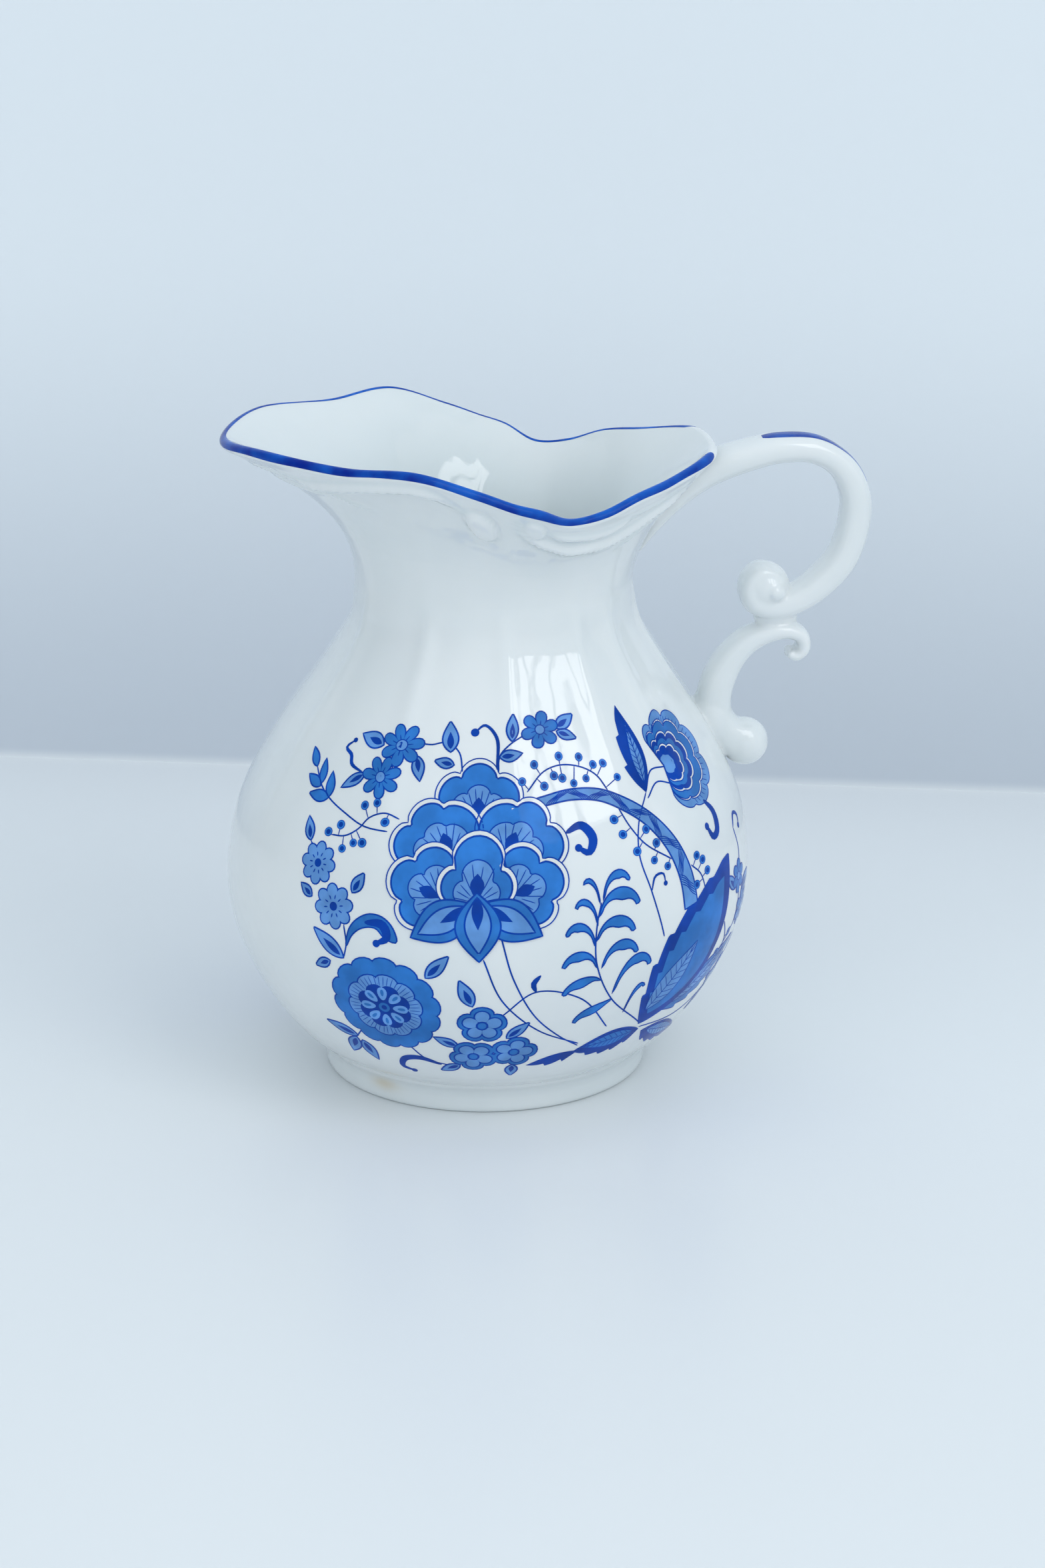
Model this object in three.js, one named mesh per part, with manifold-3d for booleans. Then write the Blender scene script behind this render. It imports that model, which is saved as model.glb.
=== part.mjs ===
// Porcelain cream jug: a slip-cast vessel with a wavy, spouted rim, a turned foot ring, a handle of
// two scrolls luted on with slip, painted cobalt lines and a printed transfer on each side.
// Millimetres, +Z up, the jug stands on z = 0, its spout points along -X and its handle along +X.
import * as THREE from 'three';
import { mergeVertices } from 'three/addons/utils/BufferGeometryUtils.js';
import Module from 'manifold-3d';

const wasm = await Module();
wasm.setup();

// ---------------------------------------------------------------- driving dimensions
const AXIS_X = -10.4;          // the vessel's axis, so that the whole jug is centred on x = 0
const FOOT_RADIUS = 26;
const FOOT_HEIGHT = 4.4;
const FOOT_WALL = 3.6;
const BELLY_RADIUS = 42.2;
const BELLY_HEIGHT = 33.5;
const NECK_RADIUS = 22;
const NECK_HEIGHT = 81;
const NECK_LEAN = 1.5;         // how far the neck leans from the foot's axis towards the handle
const BASE_HEIGHT = 4.7;       // underside of the vessel, over the foot ring
const FLOOR_HEIGHT = 7.6;      // inside floor
const WALL_BELLY = 2.6;
const WALL_LIP = 1.7;
const LOBES = 12;              // shallow moulded lobes round the shoulder
const LOBE_DEPTH = 0.2;
const LOBE_FOOT = 60;          // height at which the lobes run out into the belly

const SEAT_GAP = 0.3;          // clearance between pieces that are fired together
const ENAMEL = 0.3;            // thickness of a painted line or of a transfer
const SCROLL_WIDTH = 7.2;      // handle, across the jug

const COLUMNS = 64;            // facets round the vessel
const degrees = THREE.MathUtils.degToRad;

// ---------------------------------------------------------------- materials
const porcelain = { color: 0xeef1f3, roughness: 0.12, metalness: 0 };
const biscuit = { color: 0xe3e1da, roughness: 0.55, metalness: 0 };
const cobalt = { color: 0x123fae, roughness: 0.16, metalness: 0 };
const printedBlue = { color: 0x3f74c6, roughness: 0.18, metalness: 0 };

const jug = new THREE.Group();

function addPiece(name, geometry, finish) {
  const mesh = new THREE.Mesh(geometry, new THREE.MeshStandardMaterial(finish));
  mesh.name = name;
  mesh.position.x = AXIS_X;
  jug.add(mesh);
}

// ---------------------------------------------------------------- geometry helpers
// Merges shared corners, drops the slivers at poles and makes every face point outwards.
function closed(geometry) {
  const bare = geometry.clone();
  bare.deleteAttribute('normal');
  bare.deleteAttribute('uv');
  const merged = mergeVertices(bare, 1e-4);
  const corners = merged.attributes.position;
  const index = merged.index.array;
  const kept = [];
  let volume = 0;
  const [a, b, c] = [new THREE.Vector3(), new THREE.Vector3(), new THREE.Vector3()];
  for (let i = 0; i < index.length; i += 3) {
    const [ia, ib, ic] = index.subarray(i, i + 3);
    if (ia === ib || ib === ic || ic === ia) continue;
    kept.push([ia, ib, ic]);
    a.fromBufferAttribute(corners, ia);
    b.fromBufferAttribute(corners, ib);
    c.fromBufferAttribute(corners, ic);
    volume += a.dot(b.cross(c));
  }
  const faces = volume > 0 ? kept : kept.map(([ia, ib, ic]) => [ia, ic, ib]);
  merged.setIndex(faces.flat());
  return merged;
}

function toSolid(geometry) {
  const shell = closed(geometry);
  return new wasm.Manifold(new wasm.Mesh({
    numProp: 3,
    vertProperties: new Float32Array(shell.attributes.position.array),
    triVerts: new Uint32Array(shell.index.array),
  }));
}

function toGeometry(solid) {
  const mesh = solid.getMesh();
  const geometry = new THREE.BufferGeometry();
  geometry.setAttribute('position', new THREE.BufferAttribute(mesh.vertProperties, 3));
  geometry.setIndex(new THREE.BufferAttribute(mesh.triVerts, 1));
  return geometry;
}

// Moves every corner of a geometry to the place that a function gives for it.
function reshape(geometry, place) {
  const corners = geometry.attributes.position;
  const corner = new THREE.Vector3();
  for (let i = 0; i < corners.count; i += 1) {
    corner.fromBufferAttribute(corners, i);
    const moved = place(corner);
    corners.setXYZ(i, moved.x, moved.y, moved.z);
  }
  return geometry;
}

function smoothCurve(points) {
  return new THREE.CatmullRomCurve3(points.map(([x, z]) => new THREE.Vector3(x, 0, z)), false,
    'centripetal');
}

// ---------------------------------------------------------------- vessel wall
// Half outline of the belly, [radius, height] from the base up to the neck.
const bellyOutline = smoothCurve([
  [FOOT_RADIUS + 0.6, BASE_HEIGHT], [30.8, 7.8], [36.4, 15.2], [40.9, 25], [BELLY_RADIUS, BELLY_HEIGHT],
  [40.4, 45], [34.6, 56.6], [26.9, 68], [22.8, 75.2], [NECK_RADIUS, NECK_HEIGHT],
]);

// The rim, [degrees from the handle, reach, height]: handle, low dip, ear, crest and spout.
const rimStops = [
  [0, 36.3, 101.2], [16, 36.2, 101], [33, 33.4, 99.2], [46, 32, 98], [57, 30.5, 96], [68, 30, 95.4],
  [79, 31.8, 97.6], [87, 32.2, 98.9], [97, 32.4, 101], [112, 34.3, 103.8], [132, 34.2, 103.3],
  [155, 38.4, 104.1], [180, 40.7, 103],
];
const rimCurve = new THREE.CatmullRomCurve3(
  [...rimStops, ...rimStops.slice(1, -1).reverse().map(([angle, ...rest]) => [360 - angle, ...rest])]
    .map(([angle, reach, height]) => new THREE.Vector3(
      reach * Math.cos(degrees(angle)), reach * Math.sin(degrees(angle)), height)),
  true, 'centripetal');
const rimTable = rimCurve.getPoints(1440);

// The rim's corner at an angle about the axis.
function rimAt(angle) {
  const turn = 2 * Math.PI;
  const wanted = ((angle % turn) + turn) % turn;
  const angleOf = (p) => (Math.atan2(p.y, p.x) + turn) % turn;
  let [low, high] = [0, rimTable.length - 2];
  while (high - low > 1) {
    const middle = (low + high) >> 1;
    if (angleOf(rimTable[middle]) <= wanted) low = middle;
    else high = middle;
  }
  const [start, end] = [rimTable[low], rimTable[low + 1]];
  const span = ((angleOf(end) - angleOf(start)) + turn) % turn;
  return start.clone().lerp(end, THREE.MathUtils.clamp((wanted - angleOf(start)) / span, 0, 1));
}

const NECK_SHARE = 0.7;        // share of the wall's run that lies below the neck

function leanAt(height) {
  return NECK_LEAN * THREE.MathUtils.smoothstep(height, BASE_HEIGHT, NECK_HEIGHT);
}

// Outer face of the vessel at an angle and at a run of 0 at the base to 1 at the rim.
function wallAt(angle, run) {
  if (run <= NECK_SHARE) {
    const point = bellyOutline.getPointAt(run / NECK_SHARE);
    const fade = Math.sin(Math.PI * THREE.MathUtils.smoothstep(point.z, LOBE_FOOT, NECK_HEIGHT)) ** 2;
    const radius = point.x + LOBE_DEPTH * fade * Math.cos(LOBES * angle);
    return new THREE.Vector3(leanAt(point.z) + radius * Math.cos(angle), radius * Math.sin(angle), point.z);
  }
  const climb = (run - NECK_SHARE) / (1 - NECK_SHARE);
  const flare = climb ** (2.05 - 0.35 * Math.cos(angle));
  const rim = rimAt(angle);
  const neck = new THREE.Vector3(
    NECK_LEAN + NECK_RADIUS * Math.cos(angle), NECK_RADIUS * Math.sin(angle), NECK_HEIGHT);
  return new THREE.Vector3(
    neck.x + (rim.x - neck.x) * flare,
    neck.y + (rim.y - neck.y) * flare,
    neck.z + (rim.z - neck.z) * climb);
}

const STEP = 1e-3;

function wallFrame(angle, run) {
  const point = wallAt(angle, run);
  const low = Math.max(0, run - STEP);
  const high = Math.min(1, run + STEP);
  const up = wallAt(angle, high).sub(wallAt(angle, low)).normalize();
  const round = wallAt(angle + STEP, run).sub(wallAt(angle - STEP, run)).normalize();
  const out = round.cross(up).normalize();
  return { point, up, out };
}

function wallThickness(run) {
  return THREE.MathUtils.lerp(WALL_BELLY, WALL_LIP, THREE.MathUtils.smoothstep(run, 0.5, 1));
}

function offWall(angle, run, distance) {
  const { point, out } = wallFrame(angle, run);
  return point.addScaledVector(out, distance);
}

// A point on the rounded lip: tilt runs from +90 degrees outside over the top to -90 inside.
function lipAt(angle, tilt, grow) {
  const { point, up, out } = wallFrame(angle, 1);
  const half = wallThickness(1) / 2;
  return point.addScaledVector(out, -half + (half + grow) * Math.sin(tilt))
    .addScaledVector(up, (half + grow) * Math.cos(tilt));
}

const range = (count, from, to) => Array.from({ length: count },
  (_, i) => from + (to - from) * i / (count - 1));

// The vessel as a turned form whose rows are then moved onto the wall.
function vesselGeometry(grow, hollow) {
  const outside = range(23, 0, 1).map((run) => (angle) => offWall(angle, run, grow));
  const lip = range(3, 50, -50).map((tilt) => (angle) => lipAt(angle, degrees(tilt), grow));
  const inside = range(16, 1, 0.06).map((run) => (angle) => offWall(angle, run, -wallThickness(run)));
  const disc = (height) => () => new THREE.Vector3(0, 0, height);
  const rows = hollow
    ? [disc(BASE_HEIGHT), ...outside, ...lip, ...inside, disc(FLOOR_HEIGHT)]
    : [disc(BASE_HEIGHT - grow), ...outside, ...lip.slice(0, 2), disc(NECK_HEIGHT + 50)];
  const turned = new THREE.LatheGeometry(rows.map((_, i) => new THREE.Vector2(1, i)), COLUMNS);
  return reshape(turned, ({ x, y, z }) => rows[Math.round(y)](Math.atan2(z, x)));
}

addPiece('body', closed(vesselGeometry(0, true)), porcelain);
const clearOfVessel = toSolid(vesselGeometry(SEAT_GAP, false));
const clearOfLuting = toSolid(vesselGeometry(SEAT_GAP + 0.9, false));

// ---------------------------------------------------------------- foot ring
const footInner = FOOT_RADIUS - FOOT_WALL;
const footOutline = [
  [FOOT_RADIUS - 0.6, 0], [FOOT_RADIUS, 0.5], [FOOT_RADIUS + 0.1, 2.2], [FOOT_RADIUS + 0.5, FOOT_HEIGHT],
  [footInner - 0.8, FOOT_HEIGHT], [footInner, 2.2], [footInner + 0.5, 0.5], [footInner + 1, 0],
  [FOOT_RADIUS - 0.6, 0],
];
const footRing = new THREE.LatheGeometry(footOutline.map(([r, z]) => new THREE.Vector2(r, z)), COLUMNS);
footRing.rotateX(Math.PI / 2);
addPiece('foot_ring', closed(footRing), biscuit);

// ---------------------------------------------------------------- handle scrolls
// A strap bent along a path in the XZ plane. shape(t) gives its [thickness, width].
function strap(path, shape, { from = 0, to = 1, grow = 0, sides = 12, steps = 24 } = {}) {
  const rod = new THREE.CylinderGeometry(1, 1, 1, sides, steps);
  return reshape(rod, ({ x, y, z }) => {
    const t = from + (to - from) * (y + 0.5);
    const centre = path.getPointAt(THREE.MathUtils.clamp(t, 0, 1));
    const along = path.getTangentAt(THREE.MathUtils.clamp(t, 0, 1));
    const side = new THREE.Vector3(-along.z, 0, along.x);
    const [thickness, width] = shape(t);
    return centre.addScaledVector(side, x * (thickness / 2 + grow))
      .add(new THREE.Vector3(0, z * (width / 2 + grow), 0));
  });
}

function bead(x, z, radius, width, grow = 0) {
  const ball = new THREE.SphereGeometry(1, 16, 10);
  ball.scale(radius + grow, width / 2 + grow, radius + grow);
  ball.translate(x, 0, z);
  return toSolid(ball);
}

// Blends a list of [t, thickness, width] stops.
function blendStops(stops) {
  return (t) => {
    const last = stops.length - 1;
    const i = THREE.MathUtils.clamp(stops.findIndex(([at]) => at > t), 1, last);
    const next = t >= stops[last][0] ? last : i;
    const share = THREE.MathUtils.smoothstep(t, stops[next - 1][0], stops[next][0]);
    return [1, 2].map((k) => THREE.MathUtils.lerp(stops[next - 1][k], stops[next][k], share));
  };
}

const upperPath = smoothCurve([
  [29, 94.6], [35, 96.8], [41, 99.3], [47, 100.9], [52.8, 100.5], [57.2, 97.5], [59.3, 92.6],
  [59, 87.6], [57.3, 82.8], [54.1, 79.1], [50.4, 76.8], [46.4, 76.2], [43.4, 78.2],
]);
const upperShape = blendStops([
  [0, 8.6, 9], [0.2, 5.2, 7.6], [0.34, 4.4, SCROLL_WIDTH], [0.6, 5.2, SCROLL_WIDTH],
  [0.8, 4.8, SCROLL_WIDTH], [1, 3, 6.4],
]);
const lowerPath = smoothCurve([
  [49.8, 67.2], [51.4, 68.8], [49.4, 70.9], [45.6, 70.9], [42, 69.2], [39.2, 66], [37.5, 61.8],
  [37.5, 57.6], [39.8, 54.2],
]);
const lowerShape = blendStops([
  [0, 2.4, 5.4], [0.3, 3.4, 6.4], [0.7, 5.4, SCROLL_WIDTH], [1, 5.4, SCROLL_WIDTH],
]);
const VOLUTE = { x: 45.1, z: 78.3, radius: 4.1, width: 8.6 };
const CURL = { x: 50.6, z: 67.6, radius: 1.9, width: 6.2 };
const HEEL = { x: 42.2, z: 52.5, radius: 3.7, width: 8 };
const COLLAR_END = 0.17;       // where the upper luting stops along the upper scroll

function upperScroll(grow) {
  const arm = toSolid(strap(upperPath, upperShape, { from: COLLAR_END + 0.004, grow, steps: 26 }));
  return arm.add(bead(VOLUTE.x, VOLUTE.z, VOLUTE.radius, VOLUTE.width, grow));
}

function lowerScroll(grow) {
  return toSolid(strap(lowerPath, lowerShape, { grow, steps: 16 }))
    .add(bead(CURL.x, CURL.z, CURL.radius, CURL.width, grow))
    .add(bead(HEEL.x, HEEL.z, HEEL.radius, HEEL.width, grow))
    .subtract(clearOfLuting);
}

addPiece('handle_upper_scroll', toGeometry(upperScroll(0)), porcelain);
addPiece('handle_lower_scroll', toGeometry(lowerScroll(0)), porcelain);

// ---------------------------------------------------------------- slip lutings
const rimCollar = toSolid(strap(upperPath, upperShape, { to: COLLAR_END, steps: 6 }));
addPiece('rim_luting', toGeometry(rimCollar.subtract(clearOfVessel)), porcelain);

const heelPad = bead(37.2, 55.4, 6.2, 8.8);
addPiece('belly_luting', toGeometry(heelPad.subtract(clearOfVessel).subtract(lowerScroll(SEAT_GAP))),
  porcelain);

const scrollPad = bead(46.6, 73.4, 3.4, 6.2);
addPiece('scroll_luting',
  toGeometry(scrollPad.subtract(upperScroll(SEAT_GAP)).subtract(lowerScroll(SEAT_GAP))), porcelain);

// ---------------------------------------------------------------- painted lines
const LINE_START = 3 * 360 / COLUMNS;   // the rim line stops short of the handle on both sides
const LINE_TILT = 78;

// A closed crescent round the lip, carried along the rim from one side of the handle to the other.
function rimLineGeometry() {
  const sides = 8;
  const rod = new THREE.CylinderGeometry(1, 1, 1, sides, COLUMNS - 6);
  return reshape(rod, ({ x, y, z }) => {
    const angle = degrees(LINE_START + (360 - 2 * LINE_START) * (y + 0.5));
    if (x === 0 && z === 0) return lipAt(angle, 0, SEAT_GAP + ENAMEL / 2);
    const turn = Math.round(sides * (Math.atan2(z, x) / (2 * Math.PI) + 1)) % sides;
    const half = sides / 2;
    const onTop = turn < half;
    const share = (onTop ? turn : sides - 1 - turn) / (half - 1);
    return lipAt(angle, degrees(LINE_TILT * (2 * share - 1)), onTop ? SEAT_GAP + ENAMEL : SEAT_GAP);
  });
}
addPiece('rim_line', closed(rimLineGeometry()), cobalt);

const STROKE = { from: 0.33, to: 0.62, spread: 22 };

function handleLineGeometry() {
  const slab = new THREE.BoxGeometry(1, 1, 1, 3, 14, 1);
  return reshape(slab, ({ x, y, z }) => {
    const t = THREE.MathUtils.lerp(STROKE.from, STROKE.to, y + 0.5);
    const taper = 1 - 0.6 * Math.abs(2 * y) ** 3;
    const tilt = degrees(2 * STROKE.spread * x * taper);
    const [thickness, width] = upperShape(t);
    const off = SEAT_GAP + ENAMEL * (z + 0.5);
    const along = upperPath.getTangentAt(t);
    const side = new THREE.Vector3(-along.z, 0, along.x);
    return upperPath.getPointAt(t).addScaledVector(side, Math.cos(tilt) * (thickness / 2 + off))
      .add(new THREE.Vector3(0, Math.sin(tilt) * (width / 2 + off), 0));
  });
}
addPiece('handle_line', closed(handleLineGeometry()), cobalt);

// ---------------------------------------------------------------- printed transfers
// Each side carries the same film: [degrees from the handle, run of the wall], with a rounded outline.
const TRANSFER = { centre: -81.5625, columns: 25, lowRun: 0.05, highRun: 0.57 };

function transferGeometry(turn) {
  const slab = new THREE.BoxGeometry(1, 1, 1, TRANSFER.columns, 12, 1);
  return reshape(slab, ({ x, y, z }) => {
    const angle = degrees(TRANSFER.centre + turn + x * TRANSFER.columns * 360 / COLUMNS);
    const reach = 1 - 0.4 * Math.abs(2 * x) ** 4;
    const middle = (TRANSFER.lowRun + TRANSFER.highRun) / 2;
    const run = middle + (TRANSFER.highRun - TRANSFER.lowRun) * y * reach;
    return offWall(angle, run, SEAT_GAP + ENAMEL * (z + 0.5));
  });
}
addPiece('front_transfer', closed(transferGeometry(0)), printedBlue);
addPiece('back_transfer', closed(transferGeometry(180)), printedBlue);

export default jug;
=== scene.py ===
import math

import bpy
import numpy as np
from mathutils import Matrix, Vector
from mathutils.geometry import delaunay_2d_cdt


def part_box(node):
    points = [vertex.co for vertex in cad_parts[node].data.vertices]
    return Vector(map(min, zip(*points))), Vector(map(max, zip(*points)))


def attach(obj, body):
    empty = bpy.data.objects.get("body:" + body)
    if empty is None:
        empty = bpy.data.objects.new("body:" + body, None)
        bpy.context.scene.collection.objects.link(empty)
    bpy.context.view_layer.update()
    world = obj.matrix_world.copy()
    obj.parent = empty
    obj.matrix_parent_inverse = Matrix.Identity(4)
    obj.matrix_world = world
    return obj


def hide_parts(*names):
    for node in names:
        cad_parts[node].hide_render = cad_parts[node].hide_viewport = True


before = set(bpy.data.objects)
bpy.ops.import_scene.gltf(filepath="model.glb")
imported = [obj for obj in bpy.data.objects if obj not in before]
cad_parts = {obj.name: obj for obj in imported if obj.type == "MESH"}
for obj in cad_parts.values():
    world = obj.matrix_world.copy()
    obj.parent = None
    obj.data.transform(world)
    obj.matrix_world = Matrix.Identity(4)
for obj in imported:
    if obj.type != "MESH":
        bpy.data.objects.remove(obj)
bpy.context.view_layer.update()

bl_info = {
    "name": "Porcelain Cream Jug",
    "version": (1, 0, 0),
    "blender": (4, 5, 0),
    "location": "View3D > Sidebar > Cream Jug",
    "description": "Builds a scroll-handled porcelain cream jug with cobalt lines and printed flowers",
    "category": "Add Mesh",
}

MM = 0.001
FOOT_LOW, FOOT_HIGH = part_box("foot_ring")
BODY_LOW, BODY_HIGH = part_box("body")
AXIS_X = (FOOT_LOW[0] + FOOT_HIGH[0]) / 2 / MM       # the vessel's own axis, in millimetres
FOOT_RADIUS = (FOOT_HIGH[0] - FOOT_LOW[0]) / 2 / MM - 0.5
FOOT_HEIGHT = FOOT_HIGH[2] / MM
BASE_HEIGHT = BODY_LOW[2] / MM
BELLY_RADIUS = BODY_HIGH[1] / MM
NECK_HEIGHT = 81.0
NECK_LEAN = 1.5
NECK_SHARE = 0.7          # share of the wall's run below the neck
PRINT_RADIUS = 40.0       # a millimetre across the transfer is a millimetre on a circle of this radius


# ------------------------------------------------------------------ curves
def spline(points, count, closed=False):
    """Centripetal Catmull-Rom curve through points, sampled evenly along its length."""
    p = np.asarray(points, float)
    if closed:
        p = np.vstack([p[-1], p, p[0], p[1]])
    else:
        p = np.vstack([2 * p[0] - p[1], p, 2 * p[-1] - p[-2]])
    runs = []
    for i in range(1, len(p) - 2):
        a, b, c, d = p[i - 1:i + 3]
        knots = np.cumsum([0] + [np.linalg.norm(q - r) ** 0.5 + 1e-9 for r, q in ((a, b), (b, c), (c, d))])
        t0, t1, t2, t3 = knots
        t = np.linspace(t1, t2, 60, endpoint=False)[:, None]
        a1 = (t1 - t) / (t1 - t0) * a + (t - t0) / (t1 - t0) * b
        a2 = (t2 - t) / (t2 - t1) * b + (t - t1) / (t2 - t1) * c
        a3 = (t3 - t) / (t3 - t2) * c + (t - t2) / (t3 - t2) * d
        b1 = (t2 - t) / (t2 - t0) * a1 + (t - t0) / (t2 - t0) * a2
        b2 = (t3 - t) / (t3 - t1) * a2 + (t - t1) / (t3 - t1) * a3
        runs.append((t2 - t) / (t2 - t1) * b1 + (t - t1) / (t2 - t1) * b2)
    dense = np.vstack(runs + [p[-2][None, :]])
    length = np.r_[0, np.cumsum(np.linalg.norm(np.diff(dense, axis=0), axis=1))]
    at = np.linspace(0, length[-1], count)
    return np.stack([np.interp(at, length, dense[:, k]) for k in range(dense.shape[1])], axis=1)


def smoothstep(x, low, high):
    t = np.clip((np.asarray(x, float) - low) / (high - low), 0, 1)
    return t * t * (3 - 2 * t)


# ------------------------------------------------------------------ the vessel's wall
BELLY_OUTLINE = spline([
    (FOOT_RADIUS + 0.6, BASE_HEIGHT), (30.8, 7.8), (36.4, 15.2), (40.9, 25), (BELLY_RADIUS, 33.5),
    (40.4, 45), (34.6, 56.6), (26.9, 68), (22.8, 75.2), (22, NECK_HEIGHT)], 900)
BELLY_LENGTH = float(np.sum(np.linalg.norm(np.diff(BELLY_OUTLINE, axis=0), axis=1)))
NECK_RADIUS = BELLY_OUTLINE[-1, 0]

# The rim, (degrees from the handle, reach, height): handle, low dip, ear, crest and spout.
RIM_STOPS = [
    (0, 36.3, 101.2), (16, 36.2, 101), (33, 33.4, 99.2), (46, 32, 98), (57, 30.5, 96), (68, 30, 95.4),
    (79, 31.8, 97.6), (87, 32.2, 98.9), (97, 32.4, 101), (112, 34.3, 103.8), (132, 34.2, 103.3),
    (155, 38.4, 104.1), (180, 40.7, 103)]


def rim_curve():
    stops = RIM_STOPS + [(360 - a, r, z) for a, r, z in RIM_STOPS[-2:0:-1]]
    points = [(r * math.cos(math.radians(a)), r * math.sin(math.radians(a)), z) for a, r, z in stops]
    curve = spline(points, 4001, closed=True)[:-1]
    angle = np.unwrap(np.arctan2(curve[:, 1], curve[:, 0]))
    return angle, curve


RIM_ANGLE, RIM_POINTS = rim_curve()

# Moulded relief under the rim, each line as (degrees from the handle, millimetres down from the rim),
# with its height and its half width. A knob is (degrees, down, height, half its width, half its height).
RELIEF_LINES = [
    ([(157, 4.6), (149, 5.8), (141, 4.2), (130, 2.2), (119, 2), (111, 2.1), (106, 3), (101.5, 4.4)], 1.0, 1.15),
    ([(172, 6.5), (167, 9), (158, 9.9), (149, 9.5)], 0.4, 0.6),
    ([(150, 7.2), (143.5, 8), (140, 8.9), (134, 9.1)], 0.35, 0.55),
    ([(172, 2.8), (163, 5.4), (155, 7.4)], 0.35, 0.6),
    ([(84.5, 1.6), (84, 4.2), (79.5, 5.9), (73, 5.5), (63, 5.5), (54.5, 6.5), (47, 7.4), (40, 6.4), (33, 5.3),
      (24, 4.2), (16, 3.6)], 1.05, 1.15),
    ([(77, 3), (67, 2.4), (59, 3.2), (51.5, 3.9), (44, 3.4)], 0.6, 0.9),
    ([(45, 10.4), (36, 9.4), (26, 8.8), (16, 8.6)], 0.35, 0.6),
    ([(47, 3.4), (34, 2.6), (20, 1.8)], 0.3, 0.6),
]
RELIEF_KNOBS = [(96.5, 6.3, 1.4, 2.7, 3.3), (80.5, 3.2, 0.8, 2.0, 2.3)]
SHOULDER_CREASES = [157, 122, 90, 60, 41, 10]        # degrees from the handle, both sides


def relief_at(angle, below_rim):
    """Height of the moulded scrolls at an angle and a depth under the rim, in millimetres."""
    degree = np.degrees(np.abs((angle + np.pi) % (2 * np.pi) - np.pi))
    across = degree * math.radians(1) * 31.0
    rise = np.zeros_like(across)
    near = below_rim < 14
    x, y = across[near], below_rim[near]
    lift = np.zeros_like(x)
    for points, height, half_width in RELIEF_LINES:
        line = spline([(math.radians(a) * 31.0, d) for a, d in points], 40)
        gap = np.full_like(x, 1e9)
        share = np.zeros_like(x)
        for i, (px, py) in enumerate(line):
            d = np.hypot(x - px, y - py)
            closer = d < gap
            gap = np.where(closer, d, gap)
            share = np.where(closer, i / 39, share)
        taper = np.clip(np.minimum(share, 1 - share) * 6, 0.25, 1)
        lift = np.maximum(lift, height * taper * np.exp(-(gap / half_width) ** 2))
    for degree_at, depth, height, half_wide, half_high in RELIEF_KNOBS:
        d = np.hypot((x - math.radians(degree_at) * 31.0) / half_wide, (y - depth) / half_high)
        lift = np.maximum(lift, height * np.sqrt(np.clip(1 - d * d * 0.8, 0, 1)) * smoothstep(-d, -1.25, -0.7))
    rise[near] = lift
    return rise


def crease_at(angle, height):
    """Shallow panels pressed into the shoulder: soft creases that fade into the belly."""
    degree = np.degrees(np.abs((angle + np.pi) % (2 * np.pi) - np.pi))
    fade = smoothstep(height, 38, 62) * (1 - smoothstep(height, 74, 84))
    rise = np.zeros_like(degree)
    for at in SHOULDER_CREASES:
        rise += 0.55 * np.exp(-((degree - at) / 4.2) ** 2)
    return rise * fade


def wall_points(angle, run, detailed=True):
    """Outer face of the wall: angle round the axis, run from 0 at the base to 1 at the rim."""
    angle, run = np.broadcast_arrays(np.asarray(angle, float), np.asarray(run, float))
    share = np.linspace(0, NECK_SHARE, len(BELLY_OUTLINE))
    radius = np.interp(run, share, BELLY_OUTLINE[:, 0])
    height = np.interp(run, share, BELLY_OUTLINE[:, 1])
    if detailed:
        radius = radius + crease_at(angle, height)
    lean = NECK_LEAN * smoothstep(height, BASE_HEIGHT, NECK_HEIGHT)
    x = lean + radius * np.cos(angle)
    y = radius * np.sin(angle)
    climb = np.clip((run - NECK_SHARE) / (1 - NECK_SHARE), 0, 1)
    flare = climb ** (2.05 - 0.35 * np.cos(angle))
    wanted = RIM_ANGLE[0] + (angle - RIM_ANGLE[0]) % (2 * np.pi)
    turn = np.r_[RIM_ANGLE, RIM_ANGLE[0] + 2 * np.pi]
    rim = [np.interp(wanted, turn, np.r_[RIM_POINTS[:, k], RIM_POINTS[0, k]]) for k in range(3)]
    x = np.where(run > NECK_SHARE, x + (rim[0] - x) * flare, x)
    y = np.where(run > NECK_SHARE, y + (rim[1] - y) * flare, y)
    height = np.where(run > NECK_SHARE, height + (rim[2] - height) * climb, height)
    return np.stack([x, y, height], axis=-1)


def wall_frame(angle, run):
    """Point, upward tangent and outward normal of the wall."""
    step = 1e-3
    point = wall_points(angle, run)
    up = wall_points(angle, np.minimum(run + step, 1)) - wall_points(angle, np.maximum(run - step, 0))
    around = wall_points(angle + step, run) - wall_points(angle - step, run)
    up /= np.linalg.norm(up, axis=-1, keepdims=True)
    out = np.cross(around, up)
    out /= np.linalg.norm(out, axis=-1, keepdims=True)
    return point, up, out


def wall_thickness(run):
    return 2.6 + (1.7 - 2.6) * smoothstep(run, 0.5, 1)


# ------------------------------------------------------------------ mesh helpers
def clear_scene_piece(name):
    old = bpy.data.objects.get(name)
    if old is not None:
        bpy.data.objects.remove(old, do_unlink=True)


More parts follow.
